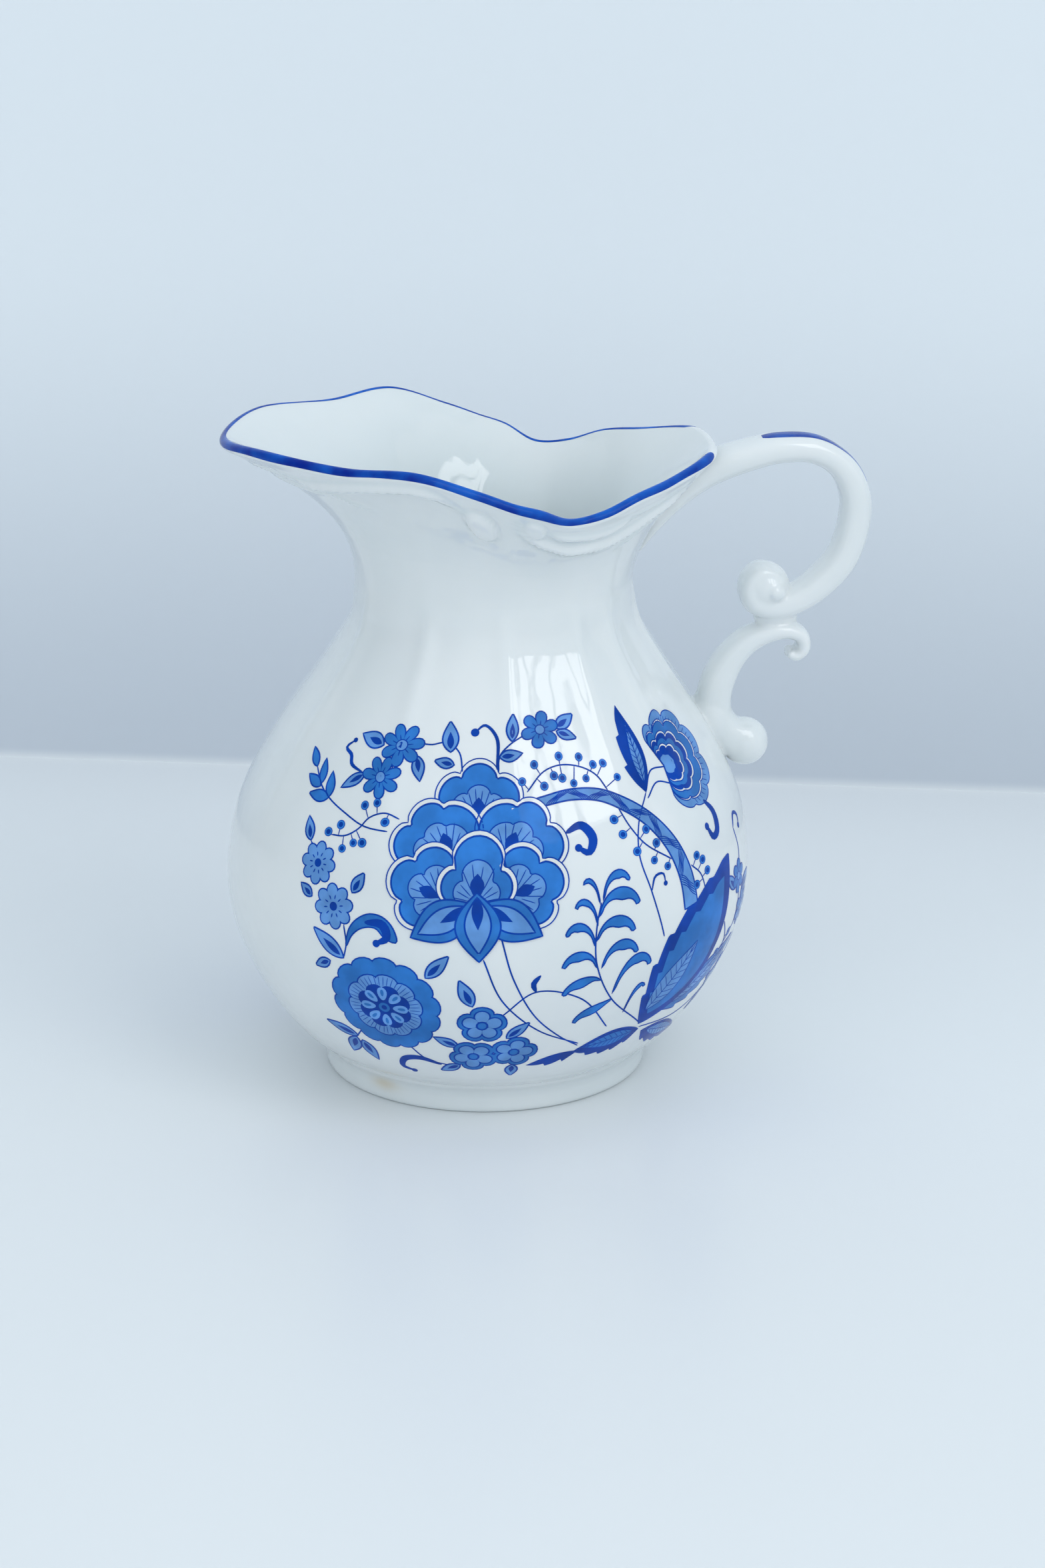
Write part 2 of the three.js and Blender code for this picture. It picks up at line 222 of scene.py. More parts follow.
def make_object(name, points_mm, faces, material, smooth_degrees=180.0):
    """A mesh object from points in millimetres about the vessel's axis."""
    clear_scene_piece(name)
    mesh = bpy.data.meshes.new(name)
    points = (np.asarray(points_mm, float) + (AXIS_X, 0, 0)) * MM
    mesh.from_pydata(points.tolist(), [], faces)
    mesh.validate()
    mesh.polygons.foreach_set("use_smooth", np.ones(len(mesh.polygons), bool))
    if smooth_degrees < 180.0:
        mesh.set_sharp_from_angle(angle=math.radians(smooth_degrees))
    mesh.materials.append(material)
    mesh.update()
    piece = bpy.data.objects.new(name, mesh)
    bpy.context.scene.collection.objects.link(piece)
    return piece


def grid_faces(rows, columns, wrap=True, offset=0):
    """Quads between rows of a grid whose columns close on themselves."""
    faces = []
    last = columns if wrap else columns - 1
    for r in range(rows - 1):
        for c in range(last):
            n = (c + 1) % columns
            a, b = offset + r * columns, offset + (r + 1) * columns
            faces.append((a + c, a + n, b + n, b + c))
    return faces


def set_values(piece, name, values):
    """Stores one number a point, which the materials read."""
    layer = piece.data.attributes.new(name, "FLOAT", "POINT")
    layer.data.foreach_set("value", np.asarray(values, np.float32))


# ------------------------------------------------------------------ material helpers
class Nodes:
    """Short calls for building a node tree."""

    def __init__(self, tree):
        self.tree = tree

    def add(self, kind, label=None, **settings):
        node = self.tree.nodes.new(kind)
        if label:
            node.label = label
        for key, value in settings.items():
            setattr(node, key, value)
        return node

    def link(self, source, target):
        self.tree.links.new(source, target)

    def math(self, operation, a, b=None, clamp=False):
        node = self.add("ShaderNodeMath", operation=operation, use_clamp=clamp)
        for socket, value in zip(node.inputs, (a, b)):
            if value is None:
                continue
            if isinstance(value, (int, float)):
                socket.default_value = value
            else:
                self.link(value, socket)
        return node.outputs[0]

    def mix(self, factor, first, second):
        node = self.add("ShaderNodeMix", data_type="RGBA")
        for socket, value in ((node.inputs[0], factor), (node.inputs[6], first), (node.inputs[7], second)):
            if isinstance(value, (int, float, tuple)):
                socket.default_value = value
            else:
                self.link(value, socket)
        return node.outputs[2]

    def ramp(self, value, low, high, to_low=0.0, to_high=1.0):
        node = self.add("ShaderNodeMapRange", interpolation_type="SMOOTHSTEP")
        self.link(value, node.inputs[0])
        for index, number in zip((1, 2, 3, 4), (low, high, to_low, to_high)):
            node.inputs[index].default_value = number
        return node.outputs[0]

    def noise(self, vector, scale, detail=2.0, roughness=0.5):
        node = self.add("ShaderNodeTexNoise")
        self.link(vector, node.inputs["Vector"])
        node.inputs["Scale"].default_value = scale
        node.inputs["Detail"].default_value = detail
        node.inputs["Roughness"].default_value = roughness
        return node.outputs["Fac"]


def glaze_group():
    """Shared effect: the uneven skin of a fired glaze, its fine dust and its tiny pinholes."""
    group = bpy.data.node_groups.get("Fired glaze skin")
    if group is not None:
        return group
    group = bpy.data.node_groups.new("Fired glaze skin", "ShaderNodeTree")
    face = group.interface
    for name, default in (("Ripple scale", 90.0), ("Mottle scale", 45.0), ("Pinhole scale", 260.0)):
        face.new_socket(name, in_out="INPUT", socket_type="NodeSocketFloat").default_value = default
    for name in ("Mottle", "Ripple", "Pinholes", "Dust"):
        face.new_socket(name, in_out="OUTPUT", socket_type="NodeSocketFloat")
    nodes = Nodes(group)
    entry = nodes.add("NodeGroupInput")
    leave = nodes.add("NodeGroupOutput")
    place = nodes.add("ShaderNodeTexCoord").outputs["Object"]

    def noise_at(scale_socket, detail, factor=1.0):
        node = nodes.add("ShaderNodeTexNoise")
        nodes.link(place, node.inputs["Vector"])
        scale = nodes.math("MULTIPLY", entry.outputs[scale_socket], factor)
        nodes.link(scale, node.inputs["Scale"])
        node.inputs["Detail"].default_value = detail
        return node.outputs["Fac"]

    nodes.link(noise_at("Mottle scale", 3.0), leave.inputs["Mottle"])
    ripple = nodes.math("ADD", noise_at("Ripple scale", 1.0), nodes.math(
        "MULTIPLY", noise_at("Ripple scale", 1.0, 4.0), 0.18))
    nodes.link(ripple, leave.inputs["Ripple"])
    cells = nodes.add("ShaderNodeTexVoronoi")
    nodes.link(place, cells.inputs["Vector"])
    nodes.link(entry.outputs["Pinhole scale"], cells.inputs["Scale"])
    rare = nodes.ramp(noise_at("Mottle scale", 2.0, 6.0), 0.66, 0.72)
    hole = nodes.ramp(cells.outputs["Distance"], 0.0, 0.09, 1.0, 0.0)
    nodes.link(nodes.math("MULTIPLY", hole, rare), leave.inputs["Pinholes"])
    nodes.link(nodes.ramp(noise_at("Ripple scale", 6.0, 9.0), 0.55, 0.8), leave.inputs["Dust"])
    return group


def new_material(name):
    material = bpy.data.materials.get(name)
    if material is not None:
        bpy.data.materials.remove(material)
    material = bpy.data.materials.new(name)
    material.use_nodes = True
    nodes = Nodes(material.node_tree)
    shader = material.node_tree.nodes["Principled BSDF"]
    return material, nodes, shader


def glaze_nodes(nodes, ripple=90.0, mottle=45.0, pinholes=260.0):
    node = nodes.add("ShaderNodeGroup", node_tree=glaze_group())
    node.inputs["Ripple scale"].default_value = ripple
    node.inputs["Mottle scale"].default_value = mottle
    node.inputs["Pinhole scale"].default_value = pinholes
    return node.outputs


def attribute(nodes, name):
    return nodes.add("ShaderNodeAttribute", attribute_name=name).outputs["Fac"]


def bump(nodes, shader, height, distance, strength=1.0):
    node = nodes.add("ShaderNodeBump")
    node.inputs["Strength"].default_value = strength
    node.inputs["Distance"].default_value = distance
    nodes.link(height, node.inputs["Height"])
    nodes.link(node.outputs[0], shader.inputs["Normal"])


def set_glaze_constants(shader, subsurface=0.12):
    shader.inputs["IOR"].default_value = 1.54
    shader.inputs["Coat IOR"].default_value = 1.5
    shader.inputs["Coat Roughness"].default_value = 0.02
    shader.inputs["Subsurface Weight"].default_value = subsurface
    shader.inputs["Subsurface Radius"].default_value = (1.0, 0.9, 0.75)
    shader.inputs["Subsurface Scale"].default_value = 0.0018


def porcelain_material(name, white, shade, stain=None):
    """Glazed white porcelain: cooler and darker where the glaze lies thick and where shade is painted in, with faint
    mottle, dust and pinholes.
    """
    material, nodes, shader = new_material(name)
    skin = glaze_nodes(nodes)
    colour = nodes.mix(nodes.ramp(skin["Mottle"], 0.3, 0.72, 0.0, 0.35), tuple(white), tuple(shade))
    # Glaze pooling and painted shade: a value stored at each point pulls the colour towards the shade colour.
    colour = nodes.mix(attribute(nodes, "pool_and_shade"), colour, tuple(shade))
    if stain is not None:
        colour = nodes.mix(attribute(nodes, "stain"), colour, tuple(stain))
    colour = nodes.mix(nodes.math("MULTIPLY", skin["Pinholes"], 0.5), colour, (0.35, 0.3, 0.25, 1))
    nodes.link(colour, shader.inputs["Base Color"])
    wet = nodes.math("ADD", nodes.ramp(skin["Dust"], 0, 1, 0.045, 0.13), nodes.math(
        "MULTIPLY", attribute(nodes, "bare"), 0.5))
    nodes.link(wet, shader.inputs["Roughness"])
    coat = nodes.math("SUBTRACT", 0.65, nodes.math("MULTIPLY", attribute(nodes, "bare"), 0.65))
    nodes.link(coat, shader.inputs["Coat Weight"])
    hollow = nodes.math("SUBTRACT", skin["Ripple"], nodes.math("MULTIPLY", skin["Pinholes"], 0.5))
    bump(nodes, shader, hollow, 0.00022)
    set_glaze_constants(shader)
    return material


def enamel_material(name, deep, light, lift=0.5):
    """Cobalt under the glaze: brush or screen tone that thins to a lighter blue."""
    material, nodes, shader = new_material(name)
    skin = glaze_nodes(nodes, mottle=210.0)
    tone = nodes.math("ADD", nodes.math("MULTIPLY", attribute(nodes, "tone"), 1 - lift), nodes.ramp(
        skin["Mottle"], 0.3, 0.75, 0.0, lift), clamp=True)
    nodes.link(nodes.mix(tone, tuple(deep), tuple(light)), shader.inputs["Base Color"])
    nodes.link(nodes.ramp(skin["Dust"], 0, 1, 0.07, 0.2), shader.inputs["Roughness"])
    nodes.link(nodes.ramp(skin["Dust"], 0, 1, 0.06, 0.03), shader.inputs["Coat Weight"])
    bump(nodes, shader, skin["Ripple"], 0.00018)
    set_glaze_constants(shader, subsurface=0.0)
    shader.inputs["Specular IOR Level"].default_value = 0.08
    return material


def print_material(name, colour):
    """One tone of the transfer, a little deeper and lighter by turns as the screen printed it."""
    deep = tuple(c * 0.62 for c in colour[:3]) + (1,)
    light = tuple(min(c * 1.25, 1) for c in colour[:3]) + (1,)
    return enamel_material(name, deep, light)


# ------------------------------------------------------------------ vessel and foot
WALL_COLUMNS = 352


def vessel_mesh():
    """Rows of the turned vessel: underside, outer wall, rounded lip, inner wall and floor."""
    angle = np.linspace(0, 2 * np.pi, WALL_COLUMNS, endpoint=False)
    rows, pool_and_shade_rows = [], []

    def add_row(points, pool_and_shade=0.0):
        rows.append(points)
        pool_and_shade_rows.append(np.broadcast_to(pool_and_shade, WALL_COLUMNS).astype(float))

    # Underside rings: darkened a little as painted shade.
    for radius in (4.0, 12.0, 19.0, 23.0):
        ring = np.stack([radius * np.cos(angle), radius * np.sin(angle), np.full_like(angle, BASE_HEIGHT)], -1)
        add_row(ring, 0.2)
    outer_runs = np.r_[np.linspace(0, 0.8, 92, endpoint=False), np.linspace(0.8, 1.0, 66)]
    for run in outer_runs:
        point, up, out = wall_frame(angle, run)
        rim_z = wall_points(angle, 1.0)
        below = np.linalg.norm(rim_z - point, axis=-1)
        lift = relief_at(angle, below) if run > 0.8 else np.zeros_like(angle)
        # Darker at the foot of the moulded scrolls: partly glaze lying thick there, partly painted shade that deepens
        # the relief.
        pool_and_shade = 0.5 * np.exp(-((lift - 0.2) / 0.14) ** 2) if run > 0.8 else 0.0
        add_row(point + out * lift[:, None], pool_and_shade)
    edge, up, out = wall_frame(angle, 1.0)
    half = wall_thickness(1.0) / 2
    for tilt in np.radians(np.linspace(75, -75, 11)):
        add_row(edge + out * (half * math.sin(tilt) - half) + up * half * math.cos(tilt))
    inner_runs = np.r_[np.linspace(1.0, 0.8, 34, endpoint=False), np.linspace(0.8, 0.06, 44)]
    for run in inner_runs:
        point, up, out = wall_frame(angle, run)
        # Inner wall: darker deeper inside the mouth, as painted shade.
        add_row(point - out * wall_thickness(run), 1 - 0.7 * smoothstep(run, 0.78, 1))
    floor_z = rows[-1][:, 2].mean()
    floor_radius = np.linalg.norm(rows[-1][:, :2], axis=1).mean()
    # Inner floor: darkened as painted shade.
    for share in (0.93, 0.8, 0.5, 0.15):
        ring = np.stack([floor_radius * share * np.cos(angle), floor_radius * share * np.sin(angle),
                         np.full_like(angle, floor_z - 1.1 * (1 - share ** 2))], -1)
        add_row(ring, 0.3)
    points = np.vstack(rows)
    faces = grid_faces(len(rows), WALL_COLUMNS)
    bottom, top = len(points), len(points) + 1
    points = np.vstack([points, (0, 0, BASE_HEIGHT), (0, 0, floor_z - 1.1)])
    last = (len(rows) - 1) * WALL_COLUMNS
    for c in range(WALL_COLUMNS):
        n = (c + 1) % WALL_COLUMNS
        faces.append((n, c, bottom))
        faces.append((last + c, last + n, top))
    return points, faces, np.r_[np.hstack(pool_and_shade_rows), 0.2, 0.3]


def foot_mesh():
    """The foot ring, whose upper edge runs out smoothly onto the belly."""
    joint = BELLY_OUTLINE[14]
    outline = [
        (FOOT_RADIUS - 0.9, 0), (FOOT_RADIUS - 0.35, 0.06), (FOOT_RADIUS, 0.3), (FOOT_RADIUS + 0.15, 0.8),
        (FOOT_RADIUS + 0.12, 1.8), (FOOT_RADIUS + 0.05, 2.8), (FOOT_RADIUS + 0.25, 3.7),
        (FOOT_RADIUS + 0.9, 4.6), (joint[0] - 0.7, joint[1] - 0.35), (joint[0] - 0.3, joint[1] + 0.05),
        (joint[0] - 1.6, joint[1] + 0.4), (24, BASE_HEIGHT + 0.2), (FOOT_RADIUS - 5.2, BASE_HEIGHT + 0.1),
        (FOOT_RADIUS - 4.4, 4.2), (FOOT_RADIUS - 3.7, 2.4), (FOOT_RADIUS - 3.4, 0.8),
        (FOOT_RADIUS - 3.1, 0.3), (FOOT_RADIUS - 2.6, 0)]
    curve = spline(outline, 90)
    curve[:, 1] = np.maximum(curve[:, 1], 0)
    angle = np.linspace(0, 2 * np.pi, 220, endpoint=False)
    points = np.concatenate([np.stack([
        r * np.cos(angle), r * np.sin(angle), np.full_like(angle, z)], -1) for r, z in curve])
    rows = len(curve)
    faces = grid_faces(rows, len(angle))
    last = (rows - 1) * len(angle)
    for c in range(len(angle)):
        n = (c + 1) % len(angle)
        faces.append((last + c, last + n, n, c))
    return points, faces


# ------------------------------------------------------------------ handle
UPPER_PATH = [
    (24.4, 85), (26.6, 89), (29.6, 92.9), (33.4, 96.3), (37.3, 98.4), (42, 99.9), (47, 100.9), (52.8, 100.5),
    (57.2, 97.5), (59.3, 92.6), (59, 87.6), (57.3, 82.8), (54.1, 79.1), (50.4, 76.5), (46.6, 75.3),
    (43.4, 76.2), (42.6, 78.9), (44.4, 80.9), (46.8, 80.4)]
UPPER_STOPS = [(0, 0.8, 4.5), (0.06, 2.6, 7.6), (0.12, 3.9, 8.8), (0.18, 4.8, 8.8), (0.24, 5.1, 8.3),
               (0.34, 4.7, 7.5), (0.47, 4.3, 7.2), (0.59, 5.1, 7.2), (0.74, 4.9, 7.4), (0.84, 4.4, 7.6),
               (0.9, 4.2, 7.8), (0.96, 3.4, 7.4), (1, 2.2, 6.4)]
LOWER_PATH = [
    (48.9, 67.6), (50.1, 67), (51.4, 68.2), (51, 70.2), (48.9, 71.2), (45.6, 70.9), (42, 69.2), (39.2, 66),
    (37.4, 61.8), (37.2, 57.6), (39, 54.4), (41.6, 52.8)]
LOWER_STOPS = [(0, 1.6, 5.2), (0.12, 2.4, 6), (0.3, 3.2, 6.6), (0.62, 5.2, 7.2), (0.85, 6, 7.4), (1, 6.6, 7.6)]


def strap(path, stops, sides=36, steps=110, square=2.5):
    """A rounded strap bent along a path in the plane through spout and handle."""
    centre = spline(path, steps)
    along = np.gradient(centre, axis=0)
    along /= np.linalg.norm(along, axis=1, keepdims=True)
    share = np.linspace(0, 1, steps)
    table = np.array(stops)
    thickness = np.interp(share, table[:, 0], table[:, 1])
    width = np.interp(share, table[:, 0], table[:, 2])
    turn = np.linspace(0, 2 * np.pi, sides, endpoint=False)
    c, s = np.cos(turn), np.sin(turn)
    a = np.sign(c) * np.abs(c) ** (2 / square)
    b = np.sign(s) * np.abs(s) ** (2 / square)
    points = []
    for i in range(steps):
        side = np.array([-along[i, 1], along[i, 0]])
        ring = centre[i] + a[:, None] * side * thickness[i] / 2
        points.append(np.stack([ring[:, 0], b * width[i] / 2, ring[:, 1]], -1))
    points = np.vstack(points + [[(centre[0, 0], 0, centre[0, 1])], [(centre[-1, 0], 0, centre[-1, 1])]])
    faces = grid_faces(steps, sides)
    first, final = steps * sides, steps * sides + 1
    for k in range(sides):
        n = (k + 1) % sides
        faces.append((n, k, first))
        faces.append(((steps - 1) * sides + k, (steps - 1) * sides + n, final))
    return points, faces


def ball(x, z, radius, half_width, y=0.0, squash=1.0):
    """A rounded knob: radius in the plane of the handle, half width across it."""
    rows, columns = 24, 36
    points = []
    for i in range(1, rows):
        polar = math.pi * i / rows
        ring = np.linspace(0, 2 * np.pi, columns, endpoint=False)
        points.append(np.stack([
            x + radius * math.sin(polar) * np.cos(ring),
            np.full_like(ring, y + half_width * math.cos(polar)),
            z + radius * squash * math.sin(polar) * np.sin(ring)], -1))
    points = np.vstack(points + [[(x, y + half_width, z)], [(x, y - half_width, z)]])
    faces = grid_faces(rows - 1, columns)
    first, final = (rows - 1) * columns, (rows - 1) * columns + 1
    for k in range(columns):
        n = (k + 1) % columns
        faces.append((n, k, first))
        faces.append(((rows - 2) * columns + k, (rows - 2) * columns + n, final))
    return points, faces


def wall_patch(low_run, high_run, half_angle, sink, depth):
    """A slab just under the vessel's outer face, which the handle's slip joints grow out of."""
    angles = np.radians(np.linspace(-half_angle, half_angle, 40))
    runs = np.linspace(low_run, high_run, 60)
    grid_angle, grid_run = np.meshgrid(angles, runs)
    point, _, out = wall_frame(grid_angle.ravel(), grid_run.ravel())
    outer = point - out * sink
    inner = point - out * (sink + depth)
    count = len(outer)
    faces = grid_faces(60, 40, wrap=False)
    faces += [tuple(count + i for i in reversed(face)) for face in faces]
    rim = ([i for i in range(39)] + [39 + 40 * i for i in range(59)]
           + [59 * 40 + 39 - i for i in range(39)] + [(59 - i) * 40 for i in range(59)])
    for k, i in enumerate(rim):
        j = rim[(k + 1) % len(rim)]
        faces.append((j, i, count + i, count + j))
    return np.vstack([outer, inner]), faces


def fused(name, parts, voxel_mm, rounds, material):
    """Joins overlapping closed parts into one skin and softens it, as slip and glaze do."""
    points, faces, offset = [], [], 0
    for part_points, part_faces in parts:
        points.append(part_points)
        faces += [tuple(i + offset for i in face) for face in part_faces]
        offset += len(part_points)
    mesh = bpy.data.meshes.new(name + " source")
    mesh.from_pydata(np.vstack(points).tolist(), [], faces)
    work = bpy.data.objects.new(name + " source", mesh)
    bpy.context.scene.collection.objects.link(work)
    remesh = work.modifiers.new("Slip", "REMESH")
    remesh.mode = "VOXEL"
    remesh.voxel_size = voxel_mm
    remesh.adaptivity = 0.0
    soften = work.modifiers.new("Soften", "SMOOTH")
    soften.factor = 0.5
    soften.iterations = rounds
    bpy.context.view_layer.update()
    result = bpy.data.meshes.new_from_object(work.evaluated_get(bpy.context.evaluated_depsgraph_get()))
    bpy.data.objects.remove(work, do_unlink=True)
    corner = np.zeros(len(result.vertices) * 3)
    result.vertices.foreach_get("co", corner)
    corner = corner.reshape(-1, 3)
    polygons = [tuple(p.vertices) for p in result.polygons]
    return make_object(name, corner, polygons, material)


def handle_parts():
    upper = strap(UPPER_PATH, UPPER_STOPS)
    lower = strap(LOWER_PATH, LOWER_STOPS)
    return [
        upper, lower,
        ball(44.9, 78.3, 4.2, 4.2),
        ball(46.3, 78.1, 2.3, 4.75),
        ball(42.2, 52.6, 3.9, 4.1),
        ball(46.9, 73.3, 3.6, 2.6, squash=0.5),
        ball(36.6, 56.6, 3.6, 4.4, squash=1.5),
        wall_patch(0.42, 0.66, 15, 0.12, 1.3),
        wall_patch(0.84, 0.97, 20, 0.1, 1.25)]


# ------------------------------------------------------------------ painted lines
STROKE_ENDS = ((44.6, 100.4), (58.8, 94.5))


def loop_skin(rows):
    """A closed skin from rows that run along a line, side by side round its thickness."""
    count, steps = len(rows), len(rows[0])
    faces = []
    for r in range(count):
        n = (r + 1) % count
        for i in range(steps - 1):
            faces.append((r * steps + i, n * steps + i, n * steps + i + 1, r * steps + i + 1))
    half = count // 2
    for r in range(half - 1):
        a, b = r, r + 1
        c, d = count - 1 - r, count - 2 - r
        faces.append((a * steps, c * steps, d * steps, b * steps))
        end = steps - 1
        faces.append((b * steps + end, d * steps + end, c * steps + end, a * steps + end))
    return np.vstack(rows), faces


def lip_band():
    """Cobalt brushed over the lip: a thin skin whose width swells and thins round the rim."""
    start, end, steps, across = 15.0, 345.0, 620, 15
    outer_tilt, inner_tilt = 46.0, -84.0
    angle = np.radians(np.linspace(start, end, steps))
    edge, up, out = wall_frame(angle, 1.0)
    half = wall_thickness(1.0) / 2
    wobble = 6 * np.sin(3.1 * angle + 1) + 5 * np.sin(7.3 * angle) + 4 * np.sin(19 * angle + 2)
    swell = 38 * np.exp(-((np.degrees(angle) - 360 + 80) / 11) ** 2)
    fade = np.clip(np.minimum(angle - angle[0], angle[-1] - angle) / 0.05, 0, 1) ** 0.5
    low = inner_tilt - 0.5 * wobble
    high = outer_tilt + wobble + swell
    turn = np.degrees(angle)
    tone = 0.1 + 0.45 * smoothstep(turn, 215, 275) + 0.25 * np.sin(11 * angle) * np.sin(5 * angle + 1)
    rows, tones = [], []
    for level, shares in ((0.05, np.linspace(1, 0, across)), (-0.08, np.linspace(0, 1, across))):
        for share in shares:
            tones.append(np.clip(tone + 1.2 * (0.45 - share), 0, 1))
            tilt = np.radians((low + high) / 2 + (high - low) * (share - 0.5) * (0.3 + 0.7 * fade))
            past = (np.abs(tilt) - np.pi / 2).clip(0) * half
            held = np.clip(tilt, -np.pi / 2, np.pi / 2)
            lifted = half + level * np.sin(np.pi * np.clip(share, 0.04, 0.96)) ** 0.3
            spot = edge + out * (lifted * np.sin(held) - half)[:, None]
            rows.append(spot + up * (lifted * np.cos(held) - past)[:, None])
    points, faces = loop_skin(rows)
    return points, faces, np.hstack(tones)


def handle_stroke():
    """The cobalt stroke along the ridge of the upper scroll: broad at its start, fading to a hair."""
    steps, across = 150, 9
    centre = spline(UPPER_PATH, 600)
    along = np.gradient(centre, axis=0)
    along /= np.linalg.norm(along, axis=1, keepdims=True)
    table = np.array(UPPER_STOPS)
    first, last = (int(np.argmin(np.hypot(*(centre - end).T))) for end in STROKE_ENDS)
    index = np.linspace(first, last, steps).astype(int)
    at = index / 599
    thickness = np.interp(at, table[:, 0], table[:, 1])
    share_along = np.linspace(0, 1, steps)
    half_width = 1.5 * np.sin(np.pi * np.clip(share_along, 0.01, 0.985) ** 0.5) ** 0.6 + 0.06
    rows = []
    for level, sides in ((0.06, np.linspace(-1, 1, across)), (-0.35, np.linspace(1, -1, across))):
        for side in sides:
            y = side * half_width - 0.5
            crown = thickness / 2 * (1 - np.abs(y / 3.6) ** 2.5).clip(0) ** (1 / 2.5) + level - 0.05
            spot = centre[index] + np.stack([-along[index, 1], along[index, 0]], -1) * crown[:, None]
            rows.append(np.stack([spot[:, 0], y, spot[:, 1]], -1))
    points, faces = loop_skin(rows)
    return points, faces, np.tile(0.2 + 0.8 * share_along ** 2, len(rows))


# ------------------------------------------------------------------ trees for what repeats in the print
def flat_disc(nodes, detail, length, width, taper, low, high):
    """Inside a tree: a thin closed petal along +X round the origin, narrower towards -X by the taper."""
    fan = nodes.add("GeometryNodeMeshCircle", fill_type="TRIANGLE_FAN")
    fan.inputs["Vertices"].default_value = 16
    fan.inputs["Radius"].default_value = 0.5
    circle = nodes.add("GeometryNodeSubdivideMesh")
    nodes.link(fan.outputs[0], circle.inputs["Mesh"])
    nodes.link(detail, circle.inputs["Level"])
    place = nodes.add("GeometryNodeInputPosition")
    parts = nodes.add("ShaderNodeSeparateXYZ")
    nodes.link(place.outputs[0], parts.inputs[0])
    narrow = nodes.math("ADD", 1.0, nodes.math("MULTIPLY", parts.outputs["X"], taper))
    joined = nodes.add("ShaderNodeCombineXYZ")
    nodes.link(nodes.math("MULTIPLY", parts.outputs["X"], length), joined.inputs["X"])
    across = nodes.math("MULTIPLY", parts.outputs["Y"], width)
    nodes.link(nodes.math("MULTIPLY", across, narrow), joined.inputs["Y"])
    nodes.link(low, joined.inputs["Z"])
    shaped = nodes.add("GeometryNodeSetPosition")
    nodes.link(circle.outputs[0], shaped.inputs["Geometry"])
    nodes.link(joined.outputs[0], shaped.inputs["Position"])
    rise = nodes.add("ShaderNodeCombineXYZ")
    nodes.link(nodes.math("SUBTRACT", high, low), rise.inputs["Z"])
    raised = nodes.add("GeometryNodeExtrudeMesh", mode="FACES")
    raised.inputs["Individual"].default_value = False
    nodes.link(shaped.outputs[0], raised.inputs["Mesh"])
    nodes.link(rise.outputs[0], raised.inputs["Offset"])
    under = nodes.add("GeometryNodeFlipFaces")
    nodes.link(shaped.outputs[0], under.inputs[0])
    both = nodes.add("GeometryNodeJoinGeometry")
    nodes.link(raised.outputs["Mesh"], both.inputs[0])
    nodes.link(under.outputs[0], both.inputs[0])
    closed = nodes.add("GeometryNodeMergeByDistance")
    closed.inputs["Distance"].default_value = 1e-4
    nodes.link(both.outputs[0], closed.inputs["Geometry"])
    return closed.outputs[0]


def tree_start(name, sizes, whole):
    """A new tree with named number inputs, whole number inputs and a material."""
    tree = bpy.data.node_groups.new(name, "GeometryNodeTree")
    face = tree.interface
    face.new_socket("Geometry", in_out="INPUT", socket_type="NodeSocketGeometry")
    for label, default in sizes:
        face.new_socket(label, in_out="INPUT", socket_type="NodeSocketFloat").default_value = default
    for label, default in whole:
        face.new_socket(label, in_out="INPUT", socket_type="NodeSocketInt").default_value = default
    face.new_socket("Material", in_out="INPUT", socket_type="NodeSocketMaterial")
    face.new_socket("Geometry", in_out="OUTPUT", socket_type="NodeSocketGeometry")
    nodes = Nodes(tree)
    return tree, nodes, nodes.add("NodeGroupInput").outputs, nodes.add("NodeGroupOutput")


def tree_end(nodes, instances, material, leave):
    real = nodes.add("GeometryNodeRealizeInstances")
    nodes.link(instances, real.inputs[0])
    coated = nodes.add("GeometryNodeSetMaterial")
    nodes.link(real.outputs[0], coated.inputs["Geometry"])
    nodes.link(material, coated.inputs["Material"])
    nodes.link(coated.outputs[0], leave.inputs[0])


def petal_ring_tree():
    """Petals, lobes, hatch lines or dots set evenly round a centre, each turned a little at random."""
    tree = bpy.data.node_groups.get("Petal ring")
    if tree is not None:
        return tree
    tree, nodes, entry, leave = tree_start(
        "Petal ring", [("Reach", 2.0), ("Length", 2.0), ("Width", 1.5), ("Taper", 0.5), ("Low", -0.05),
                       ("High", 0.05), ("Unevenness", 0.0)], [("Petals", 6), ("Detail", 1), ("Seed", 1)])
    petal = flat_disc(nodes, entry["Detail"], entry["Length"], entry["Width"], entry["Taper"], entry["Low"],
                      entry["High"])
    index = nodes.add("GeometryNodeInputIndex").outputs[0]
    step = nodes.math("DIVIDE", 2 * math.pi, entry["Petals"])
    uneven = nodes.add("FunctionNodeRandomValue", data_type="FLOAT")
    nodes.link(entry["Seed"], uneven.inputs["Seed"])
    chance = next(o for o in uneven.outputs if o.enabled)
    swing = nodes.math("MULTIPLY", nodes.math("SUBTRACT", chance, 0.5), entry["Unevenness"])
    turn = nodes.math("ADD", nodes.math("MULTIPLY", index, step), swing)
    place = nodes.add("ShaderNodeCombineXYZ")
    nodes.link(nodes.math("MULTIPLY", nodes.math("COSINE", turn), entry["Reach"]), place.inputs["X"])
    nodes.link(nodes.math("MULTIPLY", nodes.math("SINE", turn), entry["Reach"]), place.inputs["Y"])
    points = nodes.add("GeometryNodePoints")
    nodes.link(entry["Petals"], points.inputs["Count"])
    nodes.link(place.outputs[0], points.inputs["Position"])
    rotation = nodes.add("ShaderNodeCombineXYZ")
    nodes.link(turn, rotation.inputs["Z"])
    copies = nodes.add("GeometryNodeInstanceOnPoints")
    nodes.link(points.outputs[0], copies.inputs["Points"])
    nodes.link(petal, copies.inputs["Instance"])
    nodes.link(rotation.outputs[0], copies.inputs["Rotation"])
    tree_end(nodes, copies.outputs[0], entry["Material"], leave)
    return tree


